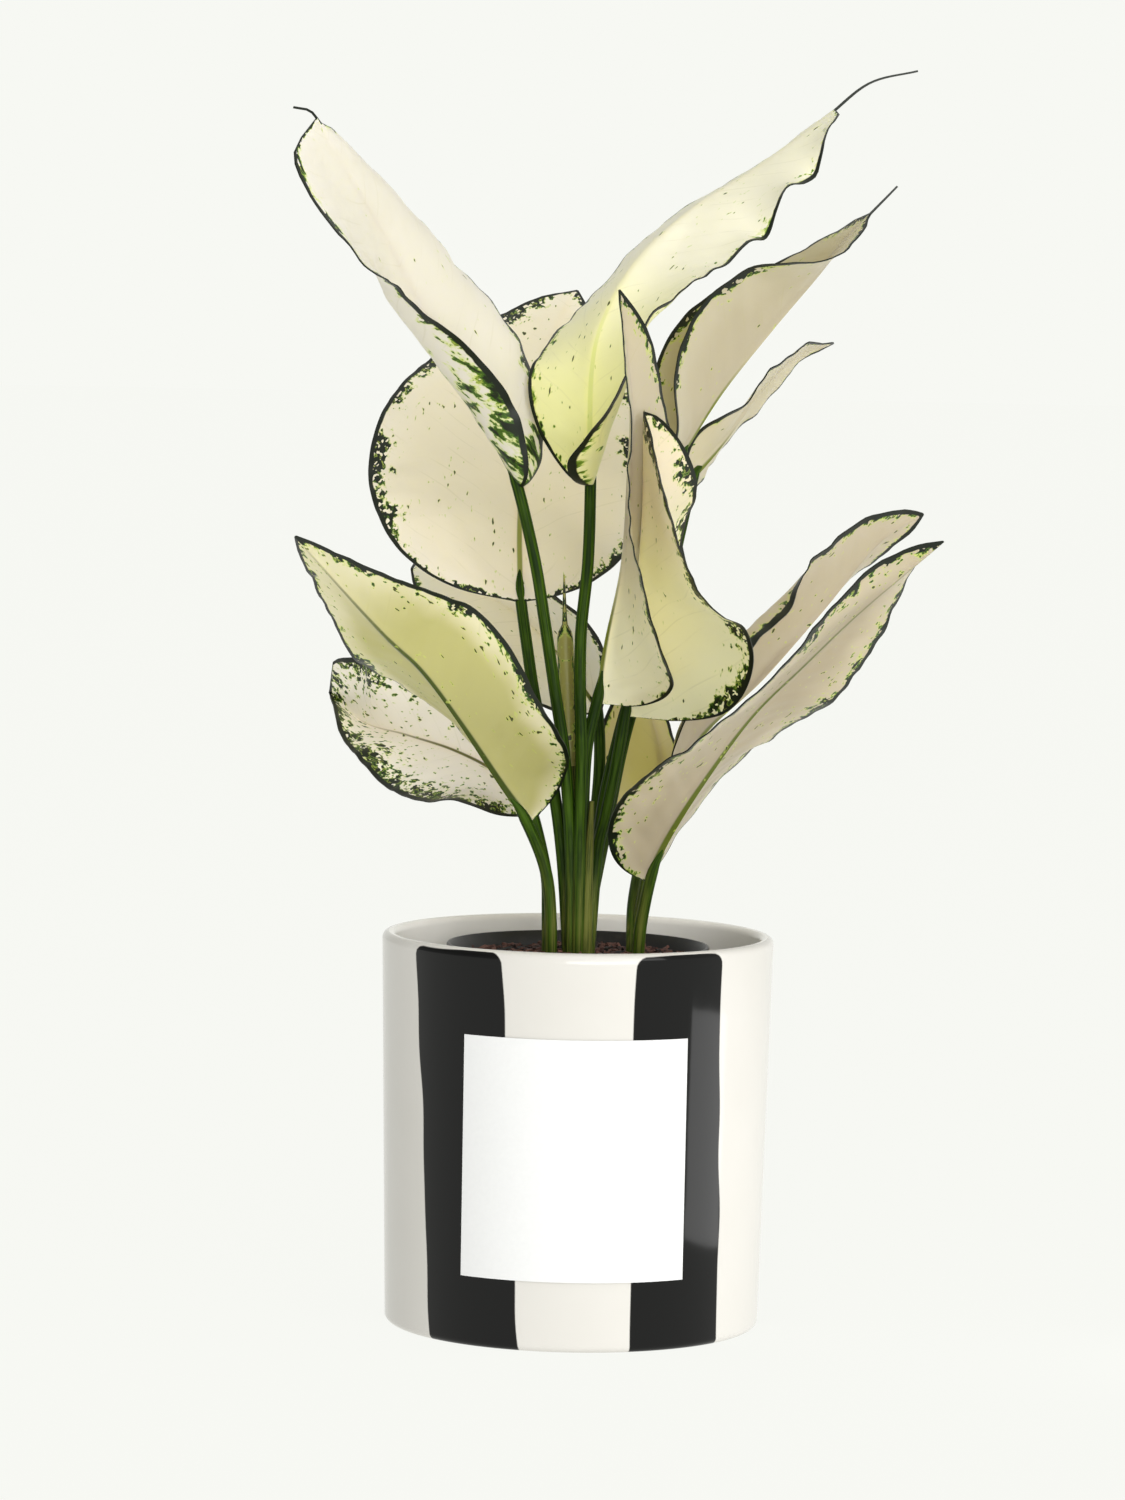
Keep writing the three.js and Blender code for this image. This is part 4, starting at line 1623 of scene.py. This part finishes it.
@dataclass
class Soil:
    """The potting mix: a crumbly crown with chips of bark and fibres lying on it.

    Attributes:
        top_z: The height of its surface at the wall.
        crown: How much higher it is in the middle.
        skirt: The height of its upper edge's side.
        crumbs: The length, the height and the shift of the surface's coarse and fine lumps.
        wall_fade: How late the lumps fade out towards the wall, as a power.
        spread: The share of the radius over which the chips lie.
        long, wide, thick: The least and the greatest size of a chip.
        lift: How far a chip's middle lies above the surface.
        tilt: How far the chips tilt, in radians.
        ragged: How far their corners are off.
    """

    radius: float = 43.4
    top_z: float = 131.0
    crown: float = 2.0
    skirt: float = 4.0
    foot_z: float = 11.0
    foot_radius: float = 36.3
    rings: int = 40
    steps: int = 96
    crumbs: tuple[Point, ...] = ((7.0, 1.3, 0.0), (2.4, 0.8, 9.0))
    wall_fade: int = 8
    chips: int = 520
    spread: float = 0.97
    long: Pair = (1.5, 6.0)
    wide: Pair = (0.4, 1.6)
    thick: Pair = (0.3, 1.0)
    lift: float = 0.2
    tilt: float = 0.35
    ragged: float = 0.2
    seed: int = 7

    def height(self, x: float, y: float) -> float:
        """Finds the surface's height over a spot.

        Args:
            x: The spot's place to the right, from the middle.
            y: Its place to the back.

        Returns:
            The height in millimetres.
        """
        out = min(math.hypot(x, y) / self.radius, 1.0)
        lumps = sum(
            noise.noise(Vector((x, y, shift)) / length) * rise
            for length, rise, shift in self.crumbs
        )
        return self.top_z + self.crown * (1 - out**2) + lumps * (1 - out**self.wall_fade)

    def add_chip(self, piece: Piece, draw: random.Random) -> None:
        """Adds one chip or fibre at a random spot of the surface.

        Args:
            piece: The potting mix's mesh.
            draw: The random draws.
        """
        bearing = draw.uniform(0, 2 * math.pi)
        out = self.radius * self.spread * math.sqrt(draw.random())
        x, y = out * math.cos(bearing), out * math.sin(bearing)
        size = [draw.uniform(*span) for span in (self.long, self.wide, self.thick)]
        turn = Matrix.Rotation(draw.uniform(0, math.pi), 4, "Z")
        tilt = Matrix.Rotation(draw.gauss(0, self.tilt), 4, "Y")
        place = Matrix.Translation(Vector((x, y, self.height(x, y) + self.lift)))
        matrix = place @ turn @ tilt @ Matrix.Diagonal((*size, 1.0))
        made = bmesh.ops.create_cube(piece.mesh, size=1.0, matrix=matrix)
        shade = draw.random()
        for vert in made["verts"]:
            vert.co += Vector([draw.uniform(-self.ragged, self.ragged) for _ in range(3)])
            vert[piece.layer("chip")] = shade

    def build(self) -> bpy.types.Object:
        """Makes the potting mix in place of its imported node.

        Returns:
            The potting mix's object.
        """
        outs = [self.radius * step / self.rings for step in range(self.rings + 1)]
        outline = [
            (0.0, self.foot_z),
            (self.foot_radius, self.foot_z),
            (self.radius, self.top_z - self.skirt),
            *[(out, self.top_z) for out in reversed(outs)],
        ]
        piece = Piece("potting_mix_surface", ("chip",))
        piece.lathe(outline, self.steps)
        for vert in piece.mesh.verts:
            if vert.co.z > self.top_z - self.skirt / 2:
                vert.co.z = self.height(vert.co.x, vert.co.y)
        draw = random.Random(self.seed)
        for _ in range(self.chips):
            self.add_chip(piece, draw)
        return piece.finished(DampPottingMix().make(), Slot.SOIL, "potting_mix")


# Each leaf's cream and heart are the tissue's own colours, set paler on leaves that hang in shade
# and darker on leaves that catch much light: painted light and painted shade.
LEAVES = (
    Leaf(
        "leaf_upper_left", Slot.CREAM, Clump.CENTRE, Front.UPPER, outline=(0.5, 0.6, 0.07),
        rib=(
            (-23, -10, 299), (-39, -6, 326), (-56, -11, 355), (-71, -20, 383), (-82, -34, 402),
            (-91, -43, 417), (-97, -46, 428), (-104, -46, 430),
        ),
        left=Half(
            32, (74, 52, 40, 32, 24, 44, 50, 53, 50),
            curl=(130, 160, 158, 148, 130, 74, 36, 12, 0), outline=(0.5, 0.2, 0.07),
        ),
        right=Half(34, (-10, -3, -15, -36, -50), curl=(-70, -75, -95, -85, -50)),
        stalk=(
            (-2, -6.5, 128), (-3, -8, 167), (-6, -10, 203), (-10, -11, 228), (-14, -12, 252),
            (-18, -11, 274),
        ),
        skin=BladeSkin(
            "#d6d0c6", "#d2ccc0", band_mm=3.0, fleck_mm=4.0, dashes=0.1, mosaic_mm=95.0,
            rib="#4f6a1c", seed=11.0,
        ),
    ),
    Leaf(
        "leaf_back_round", Slot.TAN, Clump.CENTRE, Front.UPPER, outline=(0.45, 0.9),
        rib=(
            (-23, 12, 258), (-24, 30, 286), (-23, 60, 315), (-18, 95, 340), (-11, 128, 359),
            (-5, 150, 370),
        ),
        left=Half(56, (10, 0, -8, -18, -22)),
        right=Half(48, (0, -18, -10, 3, 2)),
        stalk=((-2.5, -4, 128), (-6, -2, 166), (-11, 1, 198), (-17, 6, 223), (-20, 9, 240)),
        skin=BladeSkin(
            "#ecdfcb", "#eadcc4", band_mm=6.0, fleck_mm=7.0, flecks=0.7, dashes=0.7, line_mm=1.7,
            rib="#94984a", seed=23.0,
        ),
    ),
    Leaf(
        "leaf_upper_right", Slot.YELLOW, Clump.CENTRE, Front.UPPER, outline=(0.5, 0.5, 0.16),
        rib=(
            (1, -8, 300), (1, -9, 341), (6, 0, 362), (18, 12, 382), (37, 24, 400), (58, 34, 414),
            (82, 42, 432), (99, 48, 446), (117, 50, 451),
        ),
        left=Half(32, (-30, -22, -56, -80, -86, -88, -90, -87, -84)),
        right=Half(
            36, (10, 12, 14, 24, 38, 56, 65, 72, 80), curl=(260, 130, 90, 55, 20, 0, 0, 0, 0),
            wave=(9, 6.6),
        ),
        stalk=(
            (0, -7.5, 128), (0, -10, 167), (0, -11, 203), (-1, -11, 228), (-1, -11, 249),
            (1, -10, 274),
        ),
        skin=BladeSkin(
            "#efe8cc", "#fbf6ac", heart_end=0.12, inset_mm=-20.0, band_mm=1.6, fleck_mm=6.0,
            flecks=0.8, dashes=0.6, rib="#e2e596", seed=31.0, green="#5f8a1c",
        ),
    ),
    Leaf(
        "leaf_centre_upright", Slot.BLUSH, Clump.CENTRE, Front.UPPER, outline=(0.3, 0.8),
        rib=(
            (6, -5, 223), (9, -11, 244), (14, -19, 272), (15, -30, 302), (15, -42, 331),
            (10, -55, 369),
        ),
        left=Half(32, (178, 118, 92, 88, 88)),
        right=Half(30, (-90, -78, -52, -52, -5)),
        stalk=((1.5, -6.5, 128), (1, -6, 163), (1, -6, 188), (2, -6, 208)),
        # Painted light and shade: the pale heart lights the base lobe, the darker cream shades the
        # strip.
        skin=BladeSkin(
            "#b9ae97", "#fbf0c8", heart_end=0.15, inset_mm=-20.0, band_mm=3.0, fleck_mm=6.0,
            flecks=0.9, dashes=0.6, seed=43.0,
        ),
    ),
    Leaf(
        "leaf_centre_right", Slot.CREAM, Clump.CENTRE, Front.UPPER, outline=(0.3, 0.6),
        rib=((16, 5, 218), (20, -2, 242), (20, -11, 267), (20.5, -22, 292), (19.5, -40, 327)),
        left=Half(44, (185, 172, 160, 145, 125, 115, 109, 106, 103)),
        right=Half(29, (-68, -50, -45, -52, -58, -44, -26, -18, -15)),
        stalk=((3, -4, 128), (6, -1, 166), (9, 1, 182), (12, 3, 198)),
        # Painted light: the near white heart lights the base lobe, which hangs in shade.
        skin=BladeSkin(
            "#ecdcc0", "#fdf6c8", heart_end=0.42, inset_mm=-20.0, band_mm=5.6, fleck_mm=7.0,
            flecks=1.2, dashes=0.5, line_mm=1.6, seed=58.0,
        ),
    ),
    Leaf(
        "leaf_front_left", Slot.LIME, Clump.LEFT, Front.UNDER, outline=(0.45, 0.85),
        rib=(
            (-18, -14, 181), (-27, -20, 194), (-42, -34, 217), (-56, -48, 236), (-70, -60, 250),
            (-99, -84, 283),
        ),
        left=Half(32, (-90, -80, -59, -62, -58)),
        right=Half(34, (-5, 22, 34, 35, 22, 18, 28, 36, 36)),
        stalk=((-9.5, -7, 128), (-10, -10, 148), (-12.5, -11.5, 165)),
        skin=BladeSkin(
            "#d8d0ae", "#b0ab72", heart_end=0.6, inset_mm=4.0, band_mm=3.2, fleck_mm=8.0,
            flecks=0.8, dashes=0.9, line_mm=1.6, seed=61.0, rib="#3c4a0a", rib_share=1.2,
            rib_mm=1.5,
        ),
    ),
    Leaf(
        "leaf_front_right", Slot.BLUSH, Clump.RIGHT, Front.UNDER, outline=(0.4, 0.75),
        rib=(
            (24, -16, 161), (30, -22, 176), (41, -34, 196), (58, -50, 222), (76, -66, 242),
            (94, -80, 261), (121, -98, 286),
        ),
        left=Half(30, (15, 48, 76, 68, 10)),
        right=Half(30, (-80, -72, -50, -56, -115)),
        stalk=((21, -7, 128), (21.8, -9.2, 138), (22.8, -12, 148)),
        # Painted shade: the cream is set darker for the shade that falls on this leaf.
        skin=BladeSkin(
            "#b7ab95", "#a39781", band_mm=4.0, fleck_mm=8.0, flecks=1.0, dashes=1.0, line_mm=1.7,
            seed=74.0, rib="#59631a", rib_share=1.2, rib_mm=1.4,
        ),
    ),
    Leaf(
        "leaf_second_right", Slot.TAN, Clump.CENTRE, Front.UNDER, outline=(0.5, 0.6, 0.12),
        rib=(
            (32, 32, 310), (47, 34, 334), (65, 36, 357), (81, 38, 376), (93, 39, 391),
            (110, 40, 409),
        ),
        left=Half(30, (78, 38, 41, 97, 100)),
        right=Half(30, (-150, -162, -138, -110, -95)),
        stalk=((3, -3, 128), (7, 3, 177), (13, 10, 209), (22, 20, 244), (28, 28, 284)),
        # Painted shade: the cream is set darker for the shade that falls on this leaf.
        skin=BladeSkin("#bbb29c", "#b4aa92", band_mm=3.6, fleck_mm=4.0, dashes=0.4, seed=80.0),
    ),
    Leaf(
        "leaf_narrow_right", Slot.TAN, Clump.CENTRE, Front.UNDER, outline=(0.5, 0.8),
        rib=((37, 44, 302), (49, 60, 316), (63, 80, 334), (78, 96, 348), (91, 104, 352)),
        left=Half(22, (35, 82, 84, 88, 84)),
        right=Half(22, (-62, -80, -80, -68, -65)),
        stalk=(
            (1.5, -3, 128), (3, -1, 142), (9, 6, 176), (16, 16, 212), (27, 28, 248),
            (34, 36, 282),
        ),
        skin=BladeSkin("#c8bea4", "#c0b69a", band_mm=1.5, fleck_mm=3.0, dashes=0.3, seed=83.0),
    ),
    Leaf(
        "leaf_back_low", Slot.BLUSH, Clump.CENTRE, Front.UPPER, outline=(0.5, 0.8),
        rib=((6, 24, 218), (-9, 42, 237), (-27, 62, 252), (-48, 82, 261), (-65, 98, 265)),
        left=Half(30, (35, 35, 35, 35, 35)),
        right=Half(30, (38, 59, 72, 72, 48)),
        stalk=((0.3, -2.5, 128), (1.2, 0, 142), (4, 8, 166), (6.5, 17, 198)),
        # Painted light: the near white cream lights this leaf, which hangs in shade behind the
        # stalks.
        skin=BladeSkin("#fdf3de", "#fbf0da", band_mm=3.0, fleck_mm=6.0, dashes=0.6, seed=89.0),
    ),
    Leaf(
        "leaf_low_left", Slot.BLUSH, Clump.LEFT, Front.UPPER, outline=(0.5, 0.6),
        rib=(
            (-16, 2, 182), (-29, 22, 194), (-46, 44, 201), (-65, 66, 205), (-81, 84, 208),
            (-95, 100, 218),
        ),
        left=Half(30, (46, 46, 54, 75, 80), outline=(0.5, 0.9)),
        right=Half(28, (-25, -15, 0, 25, 50), outline=(0.5, 0.25)),
        stalk=((-10.5, -6, 128), (-11, -3, 148), (-12, -1, 162)),
        skin=BladeSkin(
            "#f3e8d9", "#f0e4d5", band_mm=9.0, fleck_mm=15.0, flecks=1.6, dashes=0.9, line_mm=1.9,
            seed=98.0, rib="#6d6a34", rib_share=1.0, rib_mm=0.6,
        ),
    ),
    Leaf(
        "leaf_mid_right", Slot.TAN, Clump.RIGHT, Front.UNDER, outline=(0.5, 0.8),
        rib=(
            (31, 22, 190), (43, 32, 210), (65, 44, 230), (87, 56, 255), (107, 64, 279),
            (124, 70, 290),
        ),
        left=Half(
            33, (72, 40, 5, -16, -14, 22, 44, 48, 40), curl=(0, 60, 130, 165, 168, 70, 15, 0, 0),
        ),
        right=Half(28, (-45, -82, -90, -86, -35)),
        stalk=((20, -4, 128), (20.5, -2, 138), (23, 5, 152), (26.5, 14, 170)),
        # Painted shade: the cream is set darker for the shade that falls on this leaf.
        skin=BladeSkin(
            "#b8ac98", "#b0a48e", band_mm=3.0, fleck_mm=5.0, flecks=0.8, dashes=0.8, line_mm=2.1,
            seed=101.0,
        ),
    ),
    Leaf(
        "leaf_low_centre", Slot.TAN, Clump.RIGHT, Front.UPPER, outline=(0.5, 0.8),
        rib=((22, 22, 160), (29, 32, 182), (29, 42, 199), (25, 56, 215), (20, 72, 232)),
        left=Half(28, (60, 26, 32, 60, 72)),
        right=Half(10, (-60, -56, -50, -32, 0)),
        stalk=((19.5, -4.5, 128), (19.3, -1.5, 139), (19.6, 9, 150)),
        skin=BladeSkin("#d2c69a", "#c8bd7e", band_mm=1.5, fleck_mm=3.0, dashes=0.5, seed=103.0),
    ),
)

SHEATHS = (
    Sheath(((2, -5.5, 122), (3, -8, 160), (4, -8, 188)), 3.4, 0.9),
    Sheath(((-0.5, -4, 122), (-1.5, -3.4, 165), (-4, -2, 201)), 2.2, 2.0),
)


@dataclass(frozen=True)
class Lamp:
    """A soft rectangular lamp; where it stands, its aim and its size are in metres."""

    name: str
    spot: Point
    aim: Point
    size: Pair
    watts: float

    def hang(self) -> None:
        """Makes the lamp and puts it in its place."""
        data = bpy.data.lights.new(self.name, "AREA")
        data.shape = "RECTANGLE"
        data.size, data.size_y = self.size
        data.energy = self.watts
        lamp = bpy.data.objects.new(self.name, data)
        ahead = Vector(self.aim) - Vector(self.spot)
        turn = ahead.to_track_quat("-Z", "Y").to_matrix().to_4x4()
        lamp.matrix_world = Matrix.Translation(Vector(self.spot)) @ turn
        bpy.context.scene.collection.objects.link(lamp)


@dataclass
class Studio:
    """The pale floor and backdrop, the soft lamps and the camera of the photograph.

    Attributes:
        pitch: How far the camera looks up, in degrees.
        pan: How far it looks to the right.
        roll: How far it is turned about its own axis.
        focal_px: The photograph's focal length in its own pixels.
        far: How far the camera sees, in metres.
        ground: The colour of the floor's glow and of the sky.
        fades: The axis along which the sky dims, where it starts, where it ends, and the
            share that is left.
    """

    eye: Point = (0.0, -2000.0, 354.05)
    pitch: float = -4.25
    pan: float = -0.196
    roll: float = 1.098
    focal_px: float = 5620.0
    image_px: tuple[int, int] = (1125, 1500)
    sensor: float = 36.0
    far: float = 60.0
    ground: str = "#f7f8f3"
    floor_paint: str = "#2a2a29"
    floor_glow: float = 0.98
    floor_radius: float = 30.0
    floor_sides: int = 96
    fades: tuple[tuple[Kind, float, float, float], ...] = (
        (Kind.HEIGHT, 0.12, 0.45, 0.68),
        (Kind.SIDE, -0.3, -0.9, 0.42),
    )
    lamps: tuple[Lamp, ...] = (
        Lamp("key", (1.6, -1.9, 1.3), (0, 0, 0.25), (1.2, 1.2), 12.0),
        Lamp("overhead", (0.2, -1.4, 2.2), (0, 0, 0.3), (1.8, 1.8), 13.0),
        Lamp("front", (0.9, -2.5, 0.9), (0, 0, 0.2), (1.6, 1.0), 15.0),
        Lamp("low", (0.4, -1.6, 0.12), (0, 0, 0.25), (1.2, 0.22), 7.5),
        Lamp("panel", (0.22, -0.065, 0.047), (0, -0.065, 0.047), (0.1, 0.09), 0.075),
    )

    def camera(self) -> None:
        """Places the camera at the photograph's viewpoint."""
        data = bpy.data.cameras.new("camera")
        data.sensor_fit = "VERTICAL"
        data.sensor_height = self.sensor
        data.sensor_width = self.sensor
        data.lens = self.focal_px / self.image_px[1] * self.sensor
        data.clip_end = self.far
        pan, pitch, roll = (math.radians(angle) for angle in (self.pan, self.pitch, self.roll))
        ahead = Vector(
            (math.sin(pan) * math.cos(pitch), math.cos(pan) * math.cos(pitch), math.sin(pitch))
        )
        flat_right = ahead.cross(UP).normalized()
        flat_up = flat_right.cross(ahead)
        right = flat_right * math.cos(roll) + flat_up * math.sin(roll)
        up = flat_up * math.cos(roll) - flat_right * math.sin(roll)
        camera = bpy.data.objects.new("camera", data)
        turn = Matrix((right, up, -ahead)).transposed().to_4x4()
        camera.matrix_world = Matrix.Translation(Vector(self.eye) * MM) @ turn
        bpy.context.scene.collection.objects.link(camera)
        bpy.context.scene.camera = camera

    def floor(self) -> None:
        """Lays the pale floor: matt acrylic lit from below, as on a product table."""
        mesh = bmesh.new()
        bmesh.ops.create_circle(
            mesh, cap_ends=True, segments=self.floor_sides, radius=self.floor_radius
        )
        data = bpy.data.meshes.new("floor")
        mesh.to_mesh(data)
        mesh.free()
        made = bpy.data.objects.new("floor", data)
        bpy.context.scene.collection.objects.link(made)
        acrylic = Shader("matt_lit_acrylic").finish(
            Base_Color=linear(self.floor_paint),
            Roughness=1.0,
            Specular_IOR_Level=0.0,
            Emission_Color=linear(self.ground),
            Emission_Strength=self.floor_glow,
        )
        data.materials.append(acrylic)

    def sky(self) -> None:
        """Sets surroundings that are pale at the horizon, and dimmer above and to the left."""
        world = bpy.data.worlds.new("studio")
        world.use_nodes = True
        tree = world.node_tree
        tree.nodes.clear()
        facing = add_node(tree, Kind.DIRECTION)
        shares = [
            add_node(tree, Kind.FADE, add_node(tree, axis, facing), start, end, 1.0, left)
            for axis, start, end, left in self.fades
        ]
        strength = add_node(tree, Kind.TIMES, *shares)
        air = add_node(tree, Kind.SKY, linear(self.ground), strength)
        add_node(tree, Kind.WORLD_END, air)
        bpy.context.scene.world = world
        bpy.context.scene.view_settings.view_transform = "Standard"

    def build(self) -> None:
        """Sets up the camera, the floor, the lamps and the sky."""
        self.camera()
        self.floor()
        for lamp in self.lamps:
            lamp.hang()
        self.sky()


def main() -> None:
    """Builds the studio, the planter and the plant."""
    logging.basicConfig(level=logging.INFO, format="%(name)s %(message)s")
    Studio().build()
    planter = Planter()
    planter.build()
    Label(planter).build()
    GrowerPot().build()
    Soil().build()
    skin = StalkSkin().make()
    for clump in Clump:
        leaves = [leaf for leaf in LEAVES if leaf.clump is clump]
        Stem(clump, leaves, SHEATHS if clump is Clump.CENTRE else ()).build(skin)
    for leaf in LEAVES:
        Blade(leaf).build()
    RolledLeaf().build()


if __name__ == "__main__":
    main()
